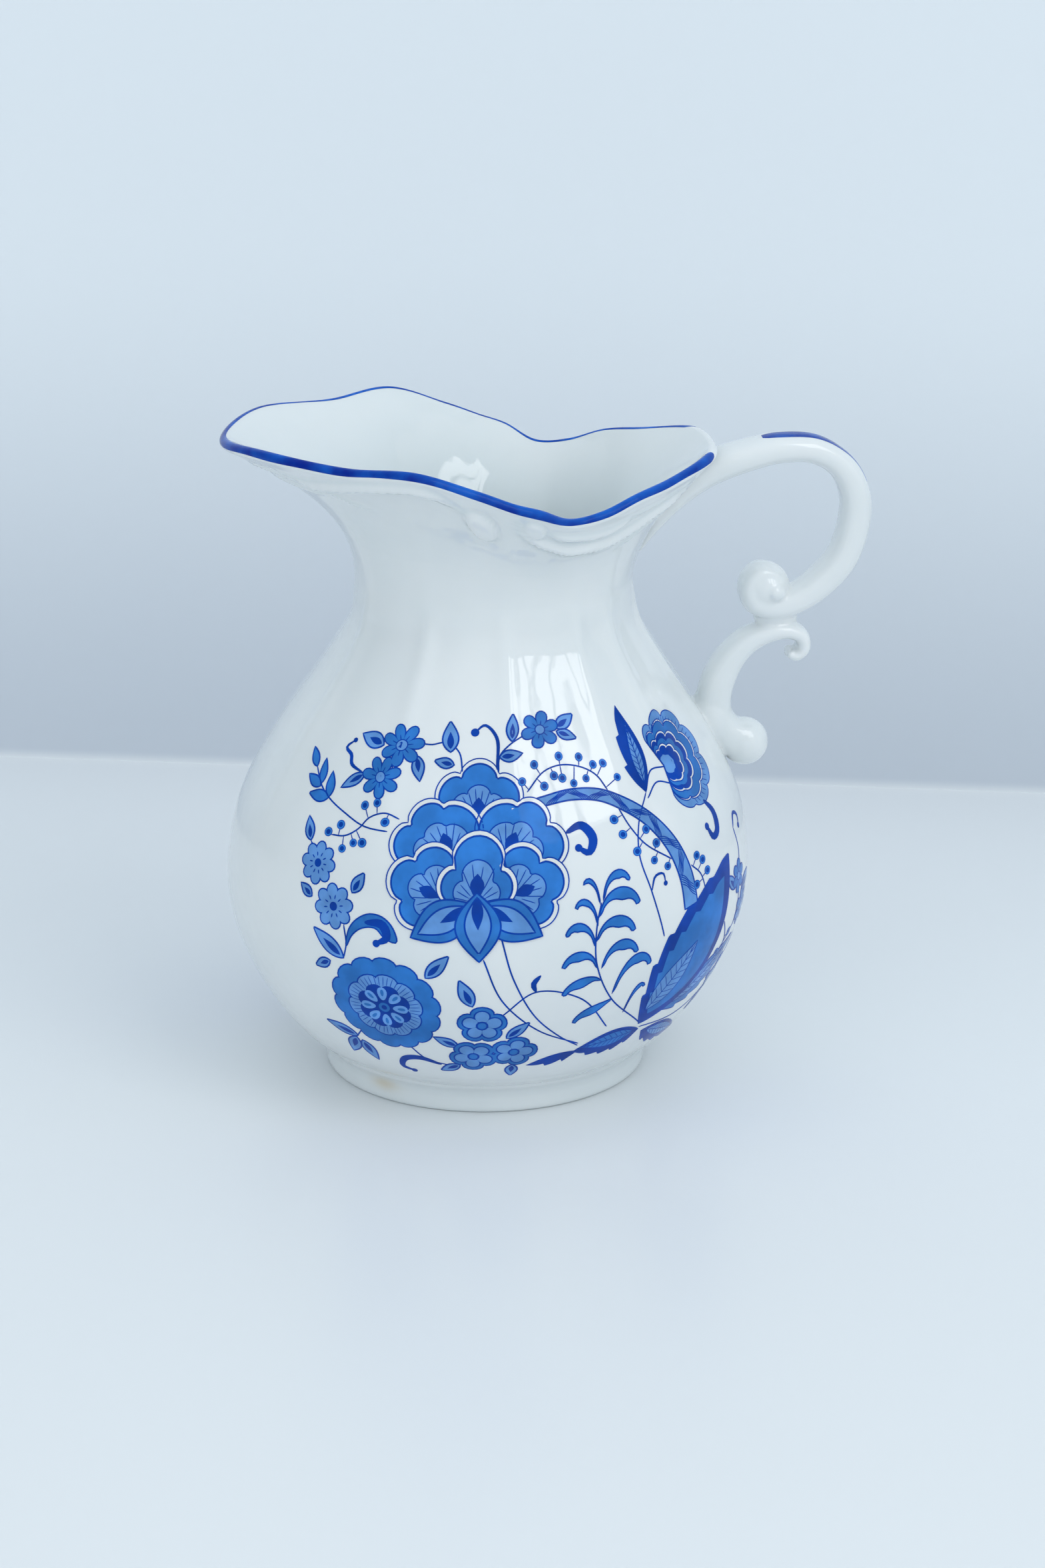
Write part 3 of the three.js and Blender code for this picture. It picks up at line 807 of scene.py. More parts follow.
def berry_tree():
    """A disc on every point of the mesh it is given, each sized a little at random."""
    tree = bpy.data.node_groups.get("Berries")
    if tree is not None:
        return tree
    tree, nodes, entry, leave = tree_start(
        "Berries", [("Size", 1.5), ("Squash", 1.0), ("Low", -0.05), ("High", 0.05), ("Unevenness", 0.2)],
        [("Detail", 1), ("Seed", 3)])
    disc = flat_disc(nodes, entry["Detail"], entry["Size"], nodes.math(
        "MULTIPLY", entry["Size"], entry["Squash"]), 0.0, entry["Low"], entry["High"])
    uneven = nodes.add("FunctionNodeRandomValue", data_type="FLOAT")
    nodes.link(entry["Seed"], uneven.inputs["Seed"])
    chance = next(o for o in uneven.outputs if o.enabled)
    grow = nodes.math("ADD", 1.0, nodes.math("MULTIPLY", nodes.math("SUBTRACT", chance, 0.5), entry["Unevenness"]))
    scale = nodes.add("ShaderNodeCombineXYZ")
    nodes.link(grow, scale.inputs["X"])
    nodes.link(grow, scale.inputs["Y"])
    scale.inputs["Z"].default_value = 1.0
    copies = nodes.add("GeometryNodeInstanceOnPoints")
    nodes.link(entry["Geometry"], copies.inputs["Points"])
    nodes.link(disc, copies.inputs["Instance"])
    nodes.link(scale.outputs[0], copies.inputs["Scale"])
    tree_end(nodes, copies.outputs[0], entry["Material"], leave)
    return tree


def grown(tree, material, places=((0, 0, 0),), **sizes):
    """Runs a tree on points and returns its plain mesh as points and faces."""
    mesh = bpy.data.meshes.new("print source")
    mesh.from_pydata([tuple(p) for p in places], [], [])
    work = bpy.data.objects.new("print source", mesh)
    bpy.context.scene.collection.objects.link(work)
    modifier = work.modifiers.new("Grow", "NODES")
    modifier.node_group = tree
    sockets = {item.name: item.identifier for item in tree.interface.items_tree if item.in_out == "INPUT"}
    modifier[sockets["Material"]] = material
    for name, value in sizes.items():
        modifier[sockets[name.capitalize()]] = value
    bpy.context.view_layer.update()
    result = bpy.data.meshes.new_from_object(work.evaluated_get(bpy.context.evaluated_depsgraph_get()))
    bpy.data.objects.remove(work, do_unlink=True)
    points = np.array([tuple(v.co) for v in result.vertices])
    faces = [tuple(polygon.vertices) for polygon in result.polygons]
    bpy.data.meshes.remove(result)
    return points, faces


# ------------------------------------------------------------------ printed transfer
FILM = 0.03               # how far the first printed tone stands over the glaze, in millimetres
TONE_STEP = 0.0055        # each tone printed over another lies this much higher
SUNK = -0.05              # every printed shape reaches this far into the glaze
TONES = ("line", "middle", "pale", "reserve")


def squeeze(v):
    """How much wider the transfer's drawing is than the wall at a height up the transfer."""
    share = np.asarray(v, float) / BELLY_LENGTH * (len(BELLY_OUTLINE) - 1)
    return PRINT_RADIUS / np.interp(share, np.arange(len(BELLY_OUTLINE)), BELLY_OUTLINE[:, 0])


def laid(points, at, turn=0.0):
    """Turns points round their own origin and lays them at a place on the transfer."""
    p = np.asarray(points, float)
    c, s = math.cos(math.radians(turn)), math.sin(math.radians(turn))
    x = p[:, 0] * c - p[:, 1] * s
    y = p[:, 0] * s + p[:, 1] * c
    return np.column_stack([at[0] + x * squeeze(at[1]), at[1] + y, *p[:, 2:].T])


def level_height(level):
    return FILM + TONE_STEP * level


def inside_grid(outline, pitch=0.8, margin=0.35):
    """Points of a square grid that lie inside an outline and clear of it."""
    low, high = outline.min(axis=0), outline.max(axis=0)
    if min(high - low) < 1.4:
        return np.zeros((0, 2))
    grid = np.stack(np.meshgrid(np.arange(low[0] + pitch / 2, high[0], pitch),
                                np.arange(low[1] + pitch / 2, high[1], pitch)), -1).reshape(-1, 2)
    inside = np.zeros(len(grid), bool)
    close = np.full(len(grid), 1e9)
    for (ax, ay), (bx, by) in zip(outline, np.roll(outline, -1, axis=0)):
        crossing = (ay > grid[:, 1]) != (by > grid[:, 1])
        where = ax + (grid[:, 1] - ay) * (bx - ax) / (by - ay if by != ay else 1e-9)
        inside ^= crossing & (grid[:, 0] < where)
        close = np.minimum(close, np.hypot(grid[:, 0] - ax, grid[:, 1] - ay))
    return grid[inside & (close > margin)]


class Transfer:
    """Collects the drawing as thin closed shapes, by tone, in millimetres across and up the wall."""

    def __init__(self, materials):
        self.materials = materials
        self.points = {tone: [] for tone in TONES}
        self.faces = {tone: [] for tone in TONES}
        self.shades = {tone: [] for tone in TONES}
        self.counts = dict.fromkeys(TONES, 0)

    def put(self, tone, points, faces, shade):
        offset = self.counts[tone]
        self.points[tone].append(np.asarray(points, float))
        self.faces[tone] += [tuple(offset + i for i in face) for face in faces]
        self.shades[tone].append(np.broadcast_to(shade, len(points)))
        self.counts[tone] += len(points)

    def slab(self, tone, flat, faces, border, level, shade):
        """A flat shape given its thickness: top, bottom and edge."""
        count = len(flat)
        points = np.vstack([np.column_stack([flat, np.full(count, z)]) for z in (level_height(level), SUNK)])
        under = [tuple(count + i for i in reversed(face)) for face in faces]
        edge = [(b, a, count + a, count + b) for a, b in border]
        self.put(tone, points, faces + under + edge, np.tile(np.broadcast_to(shade, count), 2))

    def fill(self, tone, outline, level=0, shade=0.5):
        """A filled shape. shade is a number, or a function of the shape's points."""
        outline = np.asarray(outline, float)
        flat = np.vstack([outline, inside_grid(outline)])
        edges = [(i, (i + 1) % len(outline)) for i in range(len(outline))]
        flat, _, faces, *_ = delaunay_2d_cdt([Vector(p) for p in flat], edges, [], 1, 1e-5)
        flat = np.array([tuple(p) for p in flat])
        faces = [tuple(face) for face in faces]
        used = {(a, face[(k + 1) % 3]) for face in faces for k, a in enumerate(face)}
        border = [(a, b) for a, b in sorted(used) if (b, a) not in used]
        self.slab(tone, flat, faces, border, level, shade(flat) if callable(shade) else shade)

    def stroke(self, points, width, level=4, closed=False, shade=0.3, tone="line"):
        """A pen line: width is a number or one for each point, and its ends are drawn in."""
        line = np.asarray(points, float)
        full = np.broadcast_to(np.asarray(width, float), len(line))
        if closed:
            line, full = np.vstack([line, line[:1]]), np.r_[full, full[:1]]
        length = np.r_[0, np.cumsum(np.hypot(*np.diff(line, axis=0).T))]
        steps = max(4, int(length[-1] / 0.5) + 1)
        at = np.linspace(0, length[-1], steps)
        spot = np.stack([np.interp(at, length, line[:, k]) for k in (0, 1)], -1)
        half = np.interp(at, length, full) / 2
        if closed:
            spot, half, steps = spot[:-1], half[:-1], steps - 1
            along = np.roll(spot, -1, axis=0) - np.roll(spot, 1, axis=0)
        else:
            along = np.gradient(spot, axis=0)
            half[[0, -1]] *= 0.5
        along /= np.linalg.norm(along, axis=1, keepdims=True) + 1e-12
        side = np.stack([-along[:, 1], along[:, 0]], -1) * half[:, None]
        side[:, 0] *= squeeze(spot[:, 1].mean())
        flat = np.vstack([spot + side, spot - side])
        faces, border = [], []
        for i in range(steps if closed else steps - 1):
            j = (i + 1) % steps
            faces.append((i, steps + i, steps + j, j))
            border += [(steps + i, steps + j), (j, i)]
        if not closed:
            border += [(0, steps), (2 * steps - 1, steps - 1)]
        self.slab(tone, flat, faces, border, level, shade)

    def outlined(self, tone, outline, level=0, width=0.28, shade=0.5):
        self.fill(tone, outline, level, shade)
        self.stroke(outline, width, level + 1, closed=True)

    def ring(self, tone, at, level, petals, reach, length, width, taper=0.5, turn=0.0, shade=0.5, uneven=0.0):
        points, faces = grown(petal_ring_tree(), self.materials[tone], petals=petals, reach=reach, length=length,
                              width=width, taper=taper, low=SUNK, high=level_height(level), unevenness=uneven,
                              detail=int(min(length, width) > 0.5))
        self.put(tone, laid(points, at, turn), faces, shade)

    def disc(self, tone, at, level, size, shade=0.5):
        turn = np.linspace(0, 2 * np.pi, 32, endpoint=False)
        circle = np.stack([np.cos(turn), np.sin(turn)], -1) * size / 2
        self.fill(tone, laid(circle, at), level, shade)

    def berries(self, places, size=1.45):
        """Berries with a soft wash, a dark core and a fine ring round them."""
        for tone, share, level, shade in (("line", 1.0, 3, 0.7), ("middle", 0.86, 4, 0.8), ("line", 0.56, 5, 0.0)):
            points, faces = grown(berry_tree(), self.materials[tone], [(u, v, 0) for u, v in places],
                                  size=size * share, squash=0.95, low=SUNK, high=level_height(level))
            self.put(tone, points, faces, shade)


def leaf_outline(length, width, bend=0.0, count=20, fullness=0.8):
    """A leaf from the origin along +X, with a pointed tip and a gentle bend."""
    t = np.linspace(0, 1, count)
    half = width / 2 * np.sin(np.pi * t ** fullness)
    spine = bend * np.sin(np.pi * t)
    upper = np.stack([t * length, spine + half], -1)
    lower = np.stack([t * length, spine - half], -1)[::-1][1:-1]
    return np.vstack([upper, lower])


def between(base, tip):
    """Length and turn of the way from base to tip on the wall."""
    dx, dy = (tip[0] - base[0]) / squeeze((base[1] + tip[1]) / 2), tip[1] - base[1]
    return math.hypot(dx, dy), math.degrees(math.atan2(dy, dx))


def draw_leaf(sheet, base, tip, width, tone="pale", bend=0.0, level=2, heart=True):
    """A small leaf with a dark heart near its stalk."""
    length, turn = between(base, tip)
    sheet.outlined(tone, laid(leaf_outline(length, width, bend), base, turn), level, 0.26, 0.4)
    if heart:
        inner = leaf_outline(length * 0.55, width * 0.42, bend * 0.6, 10) + (length * 0.1, 0)
        sheet.fill("line", laid(inner, base, turn), level + 2, 0.1)


def draw_curl(sheet, points, width, knob=0.0, level=3):
    """A stem whose width swells in the middle, with a round knob at its last point."""
    line = spline(points, 30)
    sheet.stroke(line, width * (0.3 + 0.7 * np.sin(np.pi * np.linspace(0.04, 0.96, 30))), level, shade=0.15)
    if knob:
        sheet.disc("line", points[-1], level + 1, knob, 0.15)


def draw_twig(sheet, stem, berries):
    """A sprig: its stem, and berries on short stalks from the nearest part of the stem."""
    line = spline(stem, 40)
    sheet.stroke(line, 0.24, 2)
    for at in berries:
        near = line[np.argmin(np.hypot(line[:, 0] - at[0], line[:, 1] - at[1]))]
        sheet.stroke(np.array([near, at]), 0.16, 2)
    sheet.berries(berries)


def draw_daisy(sheet, at, size, petals, turn, tone="middle"):
    """An open flower with separate petals and a round eye."""
    reach, length = size * 0.56, size * 0.95
    width = 2 * reach * math.tan(math.pi / petals) * 1.02
    sheet.ring("line", at, 4, petals, reach, length, width, 0.5, turn, 0.3)
    sheet.ring(tone, at, 5, petals, reach, length - 0.42, width - 0.42, 0.5, turn, 0.4)
    sheet.ring("line", at, 6, petals, reach * 0.62, length * 0.34, 0.16, 0.0, turn, 0.1)
    sheet.disc("line", at, 6, size * 0.56, 0.2)
    sheet.disc("pale", at, 7, size * 0.56 - 0.36, 0.5)


def draw_rosette(sheet, at, size, turn):
    """A pale scalloped flower with a dark eye and short stamens round it."""
    sheet.ring("line", at, 3, 8, size * 0.62, size * 0.86, size * 0.66, 0.15, turn, 0.3)
    sheet.disc("line", at, 3, size * 1.4, 0.3)
    sheet.ring("pale", at, 4, 8, size * 0.62, size * 0.86 - 0.44, size * 0.66 - 0.44, 0.15, turn, 0.35)
    sheet.disc("pale", at, 4, size * 1.36, 0.35)
    sheet.ring("line", at, 5, 10, size * 0.42, size * 0.2, 0.22, 0.0, turn, 0.1)
    sheet.disc("line", at, 5, size * 0.4, 0.1)


def draw_cluster_flower(sheet, at, size, turn):
    """A five-lobed flower: a deep outer row, pale inner petals and a small eye."""
    for tone, reach, length, width, level, shade in (
            ("line", 0.58, 0.9, 0.98, 3, 0.3), ("middle", 0.58, 0.78, 0.86, 4, 0.2),
            ("line", 0.47, 0.74, 0.68, 5, 0.2), ("pale", 0.47, 0.62, 0.55, 6, 0.3)):
        sheet.ring(tone, at, level, 5, size * reach, size * length, size * width, 0.2, turn, shade)
    sheet.disc("line", at, 7, size * 0.5, 0.2)
    sheet.disc("middle", at, 8, size * 0.34, 0.2)


def draw_medallion(sheet, at, size):
    """The large round flower: a scalloped ground, a hatched ring, a deep field and eight pale petals."""
    rows = (("line", 14, 0.84, 0.34, 0.46, 3, 0.3, 1.76), ("middle", 14, 0.84, 0.29, 0.41, 4, 0.35, 1.72),
            ("line", 10, 0.55, 0.3, 0.42, 6, 0.2, 1.16), ("pale", 10, 0.55, 0.25, 0.37, 7, 0.4, 1.12))
    for tone, petals, reach, length, width, level, shade, core in rows:
        sheet.ring(tone, at, level, petals, size * reach, size * length, size * width, 0.1, 8, shade)
        sheet.disc(tone, at, level, size * core, shade)
    sheet.ring("line", at, 8, 46, size * 0.55, size * 0.2, 0.12, 0.0, 0, 0.3, uneven=0.03)
    sheet.ring("line", at, 9, 8, size * 0.36, size * 0.26, size * 0.32, 0.1, 22, 0.0)
    sheet.disc("line", at, 9, size * 0.8, 0.0)
    sheet.ring("pale", at, 10, 8, size * 0.29, size * 0.27, size * 0.17, 0.5, 0, 0.9)
    sheet.ring("middle", at, 11, 8, size * 0.31, size * 0.14, size * 0.06, 0.3, 0, 0.3)
    sheet.disc("middle", at, 11, size * 0.2, 0.2)
    sheet.disc("line", at, 12, size * 0.1, 0.0)


def shell_outline(notches, peaks, inset=0.0, share=1.0, count=12):
    """A scalloped petal round its base: notches are (degrees, reach), with a peak's reach between each two."""
    ring = [(0.0, 0.0)]
    for (a, near), (b, far), peak in zip(notches, notches[1:], peaks):
        for t in np.linspace(0, 1, count, endpoint=False):
            reach = near + (far - near) * t
            reach += (peak - (near + far) / 2) * math.sin(math.pi * t) ** 0.62
            angle = math.radians(a + (b - a) * t)
            reach = max(reach * share - inset, 0.3)
            ring.append((reach * math.cos(angle), reach * math.sin(angle)))
    return np.array(ring)


def draw_shell(sheet, base, notches, peaks, level):
    """A petal of the great flower: a white margin, a deep ground, and a pale fan with ribs and a drop."""
    def depth(points):
        reach = np.hypot((points[:, 0] - base[0]) / squeeze(base[1]), points[:, 1] - base[1])
        return np.clip(reach / max(peaks), 0, 1)

    sheet.outlined("reserve", laid(shell_outline(notches, peaks), base), level, 0.2, 0.5)
    ground = laid(shell_outline(notches, peaks, inset=0.85), base)
    sheet.outlined("middle", ground, level + 1, 0.3, depth)
    fan = laid(shell_outline(notches, peaks, inset=0.3, share=0.62), base)
    sheet.outlined("pale", fan, level + 3, 0.2, 0.45)
    first, last = notches[0][0], notches[-1][0]
    for i, share in enumerate(np.linspace(0.08, 0.92, 3 * len(peaks) + 1)):
        angle = math.radians(first + (last - first) * share)
        k = min(int(share * len(peaks)), len(peaks) - 1)
        reach = np.array([0.2, (0.53 if i % 2 else 0.5)]) * peaks[k]
        rib = np.stack([reach * math.cos(angle), reach * math.sin(angle)], -1)
        sheet.stroke(laid(rib, base), 0.15, level + 5)
    middle = (first + last) / 2
    drop = leaf_outline(max(peaks) * 0.4, max(peaks) * 0.2, 0, 12, 1.3)
    sheet.fill("line", laid(drop, base, middle), level + 6, 0.1)


def draw_calyx_leaf(sheet, base, tip, width, level, bend=0.0):
    """A pointed leaf under the great flower: deep border, pale field and a dark drop."""
    length, turn = between(base, tip)
    for tone, grow, inner, lift, shade in (("middle", 1.0, 1.0, 0, 0.3), ("pale", 0.82, 0.58, 2, 0.4)):
        outline = leaf_outline(length * grow, width * inner, bend, 22, 0.95)
        sheet.outlined(tone, laid(outline + (length * (1 - grow) * 0.35, 0), base, turn), level + lift, 0.28, shade)
    drop = leaf_outline(length * 0.45, width * 0.26, bend * 0.5, 12)
    sheet.fill("line", laid(drop + (length * 0.08, 0), base, turn), level + 4, 0.05)


def draw_frond(sheet, root, tip, level=2):
    """A sickle of the fern: it climbs from the stem, turns over and hangs down to a blunt end."""
    run, drop = (tip[0] - root[0]) / squeeze(root[1]), tip[1] - root[1]
    crest = drop + 0.55 * abs(run)
    t = np.linspace(0, 1, 20)[:, None]
    pulls = (3 * (1 - t) ** 2 * t, 3 * (1 - t) * t ** 2, t ** 3)
    outer = sum(pull * corner for pull, corner in zip(pulls, np.array([
        (0.12 * run, crest), (0.85 * run, crest), (run, drop)])))
    along = np.gradient(outer, axis=0)
    along /= np.linalg.norm(along, axis=1, keepdims=True)
    inward = np.stack([along[:, 1], -along[:, 0]], -1) * (1 if run > 0 else -1)
    full = abs(run) * (0.05 + 0.22 * smoothstep(t, 0.05, 0.55) - 0.16 * smoothstep(t, 0.6, 1))
    sheet.outlined("middle", laid(np.vstack([outer, (outer + inward * full)[:0:-1]]), root), level, 0.24, 0.5)


def saw_leaf(base, tip, width, teeth, side, bend=0.0, count=60, depth=0.9):
    """Outline of a long leaf whose one edge is torn into teeth that point to its tip."""
    length, turn = between(base, tip)
    t = np.linspace(0, 1, count)
    half = width / 2 * np.sin(np.pi * t ** 0.85)
    torn = depth * np.clip(half, 0, 1) * (t * teeth % 1.0)
    edges = [half + torn, -half] if side > 0 else [half, -half - torn]
    spine = bend * np.sin(np.pi * t)
    upper = np.stack([t * length, spine + edges[0]], -1)
    lower = np.stack([t * length, spine + edges[1]], -1)[::-1][1:-1]
    return laid(np.vstack([upper, lower]), base, turn)


def draw_veined_leaf(sheet, base, tip, width, level, veins=9, tone="pale"):
    """A leaf with a midrib and slanting veins."""
    length, turn = between(base, tip)
    sheet.outlined(tone, laid(leaf_outline(length, width), base, turn), level, 0.2, 0.4)
    sheet.stroke(laid(np.array([(0, 0), (length * 0.96, 0)]), base, turn), 0.18, level + 2)
    for share in np.linspace(0.1, 0.82, veins):
        reach = width / 2 * math.sin(math.pi * (share + 0.1) ** 0.8) * 0.92
        for side in (-1, 1):
            vein = np.array([(length * share, 0), (length * (share + 0.1), side * reach)])
            sheet.stroke(laid(vein, base, turn), 0.12, level + 2)


def draw_branch(sheet, path, width):
    """The arching branch: a pale band cut with groups of nested strokes."""
    line = spline(path, 90)
    along = np.gradient(line, axis=0)
    along /= np.linalg.norm(along, axis=1, keepdims=True)
    side = np.stack([-along[:, 1], along[:, 0]], -1)
    half = width / 2 * np.linspace(0.62, 1.3, 90)[:, None]
    sheet.outlined("pale", np.vstack([line + side * half, (line - side * half)[::-1]]), 1, 0.28, 0.3)
    for start in range(3, 82, 9):
        lean = 1 if start % 2 else -1
        for k in range(5):
            stops = np.clip(start + k + np.array([0, 2, 5, 7]), 0, 89)
            shares = np.array([-0.9, -0.2, 0.3, 0.9]) * lean
            cut = line[stops] + side[stops] * half[stops] * shares[:, None]
            sheet.stroke(spline(cut, 12), 0.16, 3)


LOTUS_NOTCHES = [(-92, 5), (-64, 8.4), (-34, 10.6), (-6, 11), (24, 10.6), (54, 8.8), (84, 6.6), (112, 4)]
LOTUS_PEAKS = [7.6, 10.6, 12.2, 12.2, 11.4, 9.4, 6.6]


def draw_lotus(sheet, heart):
    """A cup-shaped flower seen from the side, in nested bands that all start at its heart."""
    bands = (("pale", 1.0), ("reserve", 0.83), ("middle", 0.79), ("reserve", 0.62), ("line", 0.58),
             ("middle", 0.49), ("reserve", 0.39), ("line", 0.35), ("pale", 0.2))
    for k, (tone, share) in enumerate(bands):
        outline = laid(shell_outline(LOTUS_NOTCHES, LOTUS_PEAKS, share=share), heart)
        sheet.fill(tone, outline, 2 * k, 0.3)
        if tone != "line":
            sheet.stroke(outline, 0.18, 2 * k + 1, closed=True)
    degrees, reaches = np.array(LOTUS_NOTCHES).T
    for degree in np.arange(-60, 90, 5):
        reach = np.interp(degree, degrees, reaches)
        rib = np.outer((0.9, 1.02), (math.cos(math.radians(degree)), math.sin(math.radians(degree)))) * reach
        sheet.stroke(laid(rib, heart), 0.13, 2)


# Everything below is (across, up) in millimetres on the transfer, from its middle and the vessel's base.
DAISIES = [((-21.5, 65), 3.5, 7, 10), ((-24, 59.5), 3.4, 7, 24), ((6.5, 68), 3.0, 6, 15), ((49, 30), 3.2, 7, 0),
           ((46, 36), 2.8, 6, 20)]
ROSETTES = [((-31.5, 44.5), 3.3, 0), ((-27.5, 38.5), 3.5, 12)]
CLUSTER = [((-4, 20), 3.9, 18), ((-5.5, 12.5), 3.8, 50), ((1.5, 13.5), 3.7, 5), ((48, 18), 3.8, 30)]
LEAVES = [                # base, tip, width
    ((-25.5, 64.5), (-31.5, 65.5), 2.6), ((-18, 63.5), (-16.5, 59.5), 1.9), ((-27.5, 59.5), (-31.5, 56.5), 1.8),
    ((-11.5, 64.5), (-12.5, 69.5), 2.6), ((-10.5, 62.5), (-14.5, 63), 1.7), ((0.5, 66.5), (1, 71), 1.9),
    ((-2, 64), (2.5, 64.5), 1.9), ((10, 68), (14.5, 70), 2.1), ((10, 67.5), (14, 66), 1.7),
    ((-34, 47.5), (-36, 51), 1.9), ((-31.7, 39.2), (-34.2, 40.8), 1.7), ((-24.5, 41.2), (-22.8, 44.6), 2.0),
    ((-25.5, 30.5), (-31, 34.5), 2.6), ((-28, 29.5), (-31, 28), 1.7), ((-12.5, 29), (-9, 33), 2.2),
    ((-26.5, 14.5), (-32.5, 16.5), 2.2), ((-27, 14), (-30, 9.5), 2.4), ((-26, 13.5), (-24.5, 8.5), 2.4),
    ((-5.5, 24), (-7.5, 29), 2.3), ((0, 17), (3.5, 20.5), 1.9), ((-8, 15), (-12, 17), 1.9),
    ((-8, 10), (-12, 8), 1.9), ((1.5, 10), (1.5, 6.5), 2.0), ((46, 16), (41.5, 12.5), 2.2),
    ((50.5, 20.5), (53.5, 24), 2.0), ((48, 33), (53, 35), 2.2), ((44.5, 34.5), (41, 37.5), 1.9)]
TWIG_LEAVES = [((-39, 58.5), (-42.2, 61.2), 1.5), ((-36.2, 55.8), (-40.2, 57), 1.7), ((-36.2, 56.3), (-37.6, 60.2), 1.5),
               ((-33.4, 54.6), (-34.7, 58.6), 1.7), ((-33.4, 54.5), (-38.2, 54.3), 1.9)]
STEMS = [
    [(-39, 58.5), (-36, 56), (-33, 54.4), (-29, 52.9), (-25, 51.6), (-20.3, 51.3)],
    [(-8.8, 61.5), (-9.8, 64.5), (-12.5, 66), (-15.5, 65.5), (-18, 65.5)], [(-22, 61), (-22.5, 62.5)],
    [(-2.2, 61.5), (-2, 64), (0, 66), (3.5, 67.5)], [(-4, 32.5), (-1, 25), (5, 18.5), (13, 14)],
    [(-1.5, 36), (0.5, 29), (4.3, 21.5), (9, 16.5), (13, 13.5)], [(-1, 22), (4, 26.5), (11, 24.5), (17.5, 17)],
    [(-25.5, 36), (-25, 33), (-25.5, 30.5)], [(-27, 14), (-24.5, 17)], [(-16.5, 14), (-14, 11), (-9, 9.5)],
    [(-34, 47.5), (-33, 46.5)],
    [(24.8, 15.8), (16.5, 23.4), (13, 30.6), (12.8, 36.4), (13.6, 40.2)],
    [(25.3, 55.5), (22, 51.5), (20.8, 46.5), (22.4, 40.3), (24.8, 32.5)],
    [(25.3, 55.5), (28, 58.5), (31.5, 58.5)], [(25.3, 54.5), (28.5, 56.5), (32, 55.5)],
    [(25.5, 14.5), (36, 14), (44, 16), (48, 18)], [(33, 20), (41, 24), (46, 28), (49, 30)],
    [(46, 28), (46.5, 32), (46, 36)], [(46, 36), (47, 40), (46, 44)]]
CURLS = [                 # path, width, knob
    ([(-28, 59.5), (-31.2, 60.5), (-32, 61.8), (-33.9, 62.8), (-32.5, 64.2)], 0.6, 0.8),
    ([(-2.5, 62), (-2.5, 67), (-5, 69), (-7, 67.8)], 0.55, 1.3), ([(4, 26.5), (3.5, 28), (4.5, 29.5)], 0.9, 0.0),
    ([(8.8, 51.5), (11.5, 52.4), (13.2, 50.2), (12.2, 48.1), (10.6, 49)], 1.5, 1.2),
    ([(38.5, 51), (40.3, 48.5), (39.8, 45.5), (38.2, 45), (37, 47)], 1.4, 1.2),
    ([(22.4, 40.3), (23.3, 42.5), (24.9, 42.6), (25.2, 41)], 0.4, 0.8),
    ([(-11.5, 9.8), (-15.5, 11.2), (-18.5, 10.4), (-19.5, 8), (-17.5, 7)], 1.2, 1.0),
    ([(46, 44), (47.5, 46), (49.5, 45), (49, 43.5)], 0.6, 1.0)]
TWIGS = [
    ([(-18.7, 53.4), (-21.4, 54.1), (-24, 53), (-25.5, 51), (-27.7, 49.5), (-30.3, 49.2)],
     [(-25.5, 54.7), (-23.2, 55.5), (-21, 52.7), (-29, 51), (-31, 49.5), (-27.6, 47.5), (-25.8, 48.7), (-24.2, 49)]),
    ([(2.8, 58.3), (6, 61.2), (9.6, 62.1), (13.7, 61.3), (16.2, 59.7), (17.6, 57.2)],
     [(4.5, 62.5), (2, 60), (6, 59), (8, 60.5), (9.5, 60), (11.5, 59), (14, 59.5), (9.5, 63.5), (13.5, 63),
      (16, 61.5), (18, 61.5), (20, 59)]),
    ([(18.7, 54.3), (20, 51.1), (22.2, 47.9), (27, 44.4)],
     [(17.5, 52.5), (18.5, 50), (23, 50), (24.5, 47.5), (20.5, 47), (23.5, 45), (26, 43.5)]),
    ([(34.3, 37.2), (33.2, 40.4), (31.1, 42.4)], [(34, 42.5), (32.7, 43.5), (35, 40.5), (32, 39)]),
    ([(41, 30), (43, 26), (42, 21)], [(44.5, 27), (41, 24.5), (44, 23.5), (43.5, 19)])]
FRONDS = [                # root on the stem, tip
    ((13.4, 40), (10.8, 43.3)), ((13, 36.7), (9.4, 39.8)), ((12.7, 33.2), (7.9, 35.6)), ((13.2, 29.6), (7.6, 30.5)),
    ((14, 27.3), (8, 25.4)), ((16.6, 23.3), (10.6, 19.4)), ((13.9, 40.5), (18.7, 43)), ((13.2, 38), (20.2, 39.2)),
    ((12.8, 34.2), (19.3, 35)), ((13.9, 29.5), (20, 31.3)), ((16.5, 24.3), (22.8, 28.6)), ((19.8, 19.6), (22.6, 24.3))]
SHELLS = [                # base, notches as (degrees, reach), the reach of each scallop, level
    ((-5.5, 53.5), [(22, 6.8), (68, 8.4), (114, 8.4), (160, 6.8)], [9.2, 10.2, 9.2], 0),
    ((-9.5, 48), [(30, 5), (104, 8.6), (146, 9), (192, 7.4)], [8.4, 10.4, 10.2], 8),
    ((-1, 48.5), [(-16, 7.4), (34, 8.6), (76, 8.6), (150, 5)], [10, 10.2, 8.4], 8),
    ((-10.5, 42), [(70, 6), (130, 7.6), (188, 6.8), (246, 5)], [8.6, 9.4, 7.4], 16),
    ((0, 42.5), [(-66, 5), (-10, 6.8), (48, 7.2), (108, 6)], [7.4, 9.2, 8.4], 16),
    ((-5.2, 41.5), [(-4, 4.4), (54, 6.8), (125, 6.8), (184, 4.6)], [6.8, 11, 7], 24)]
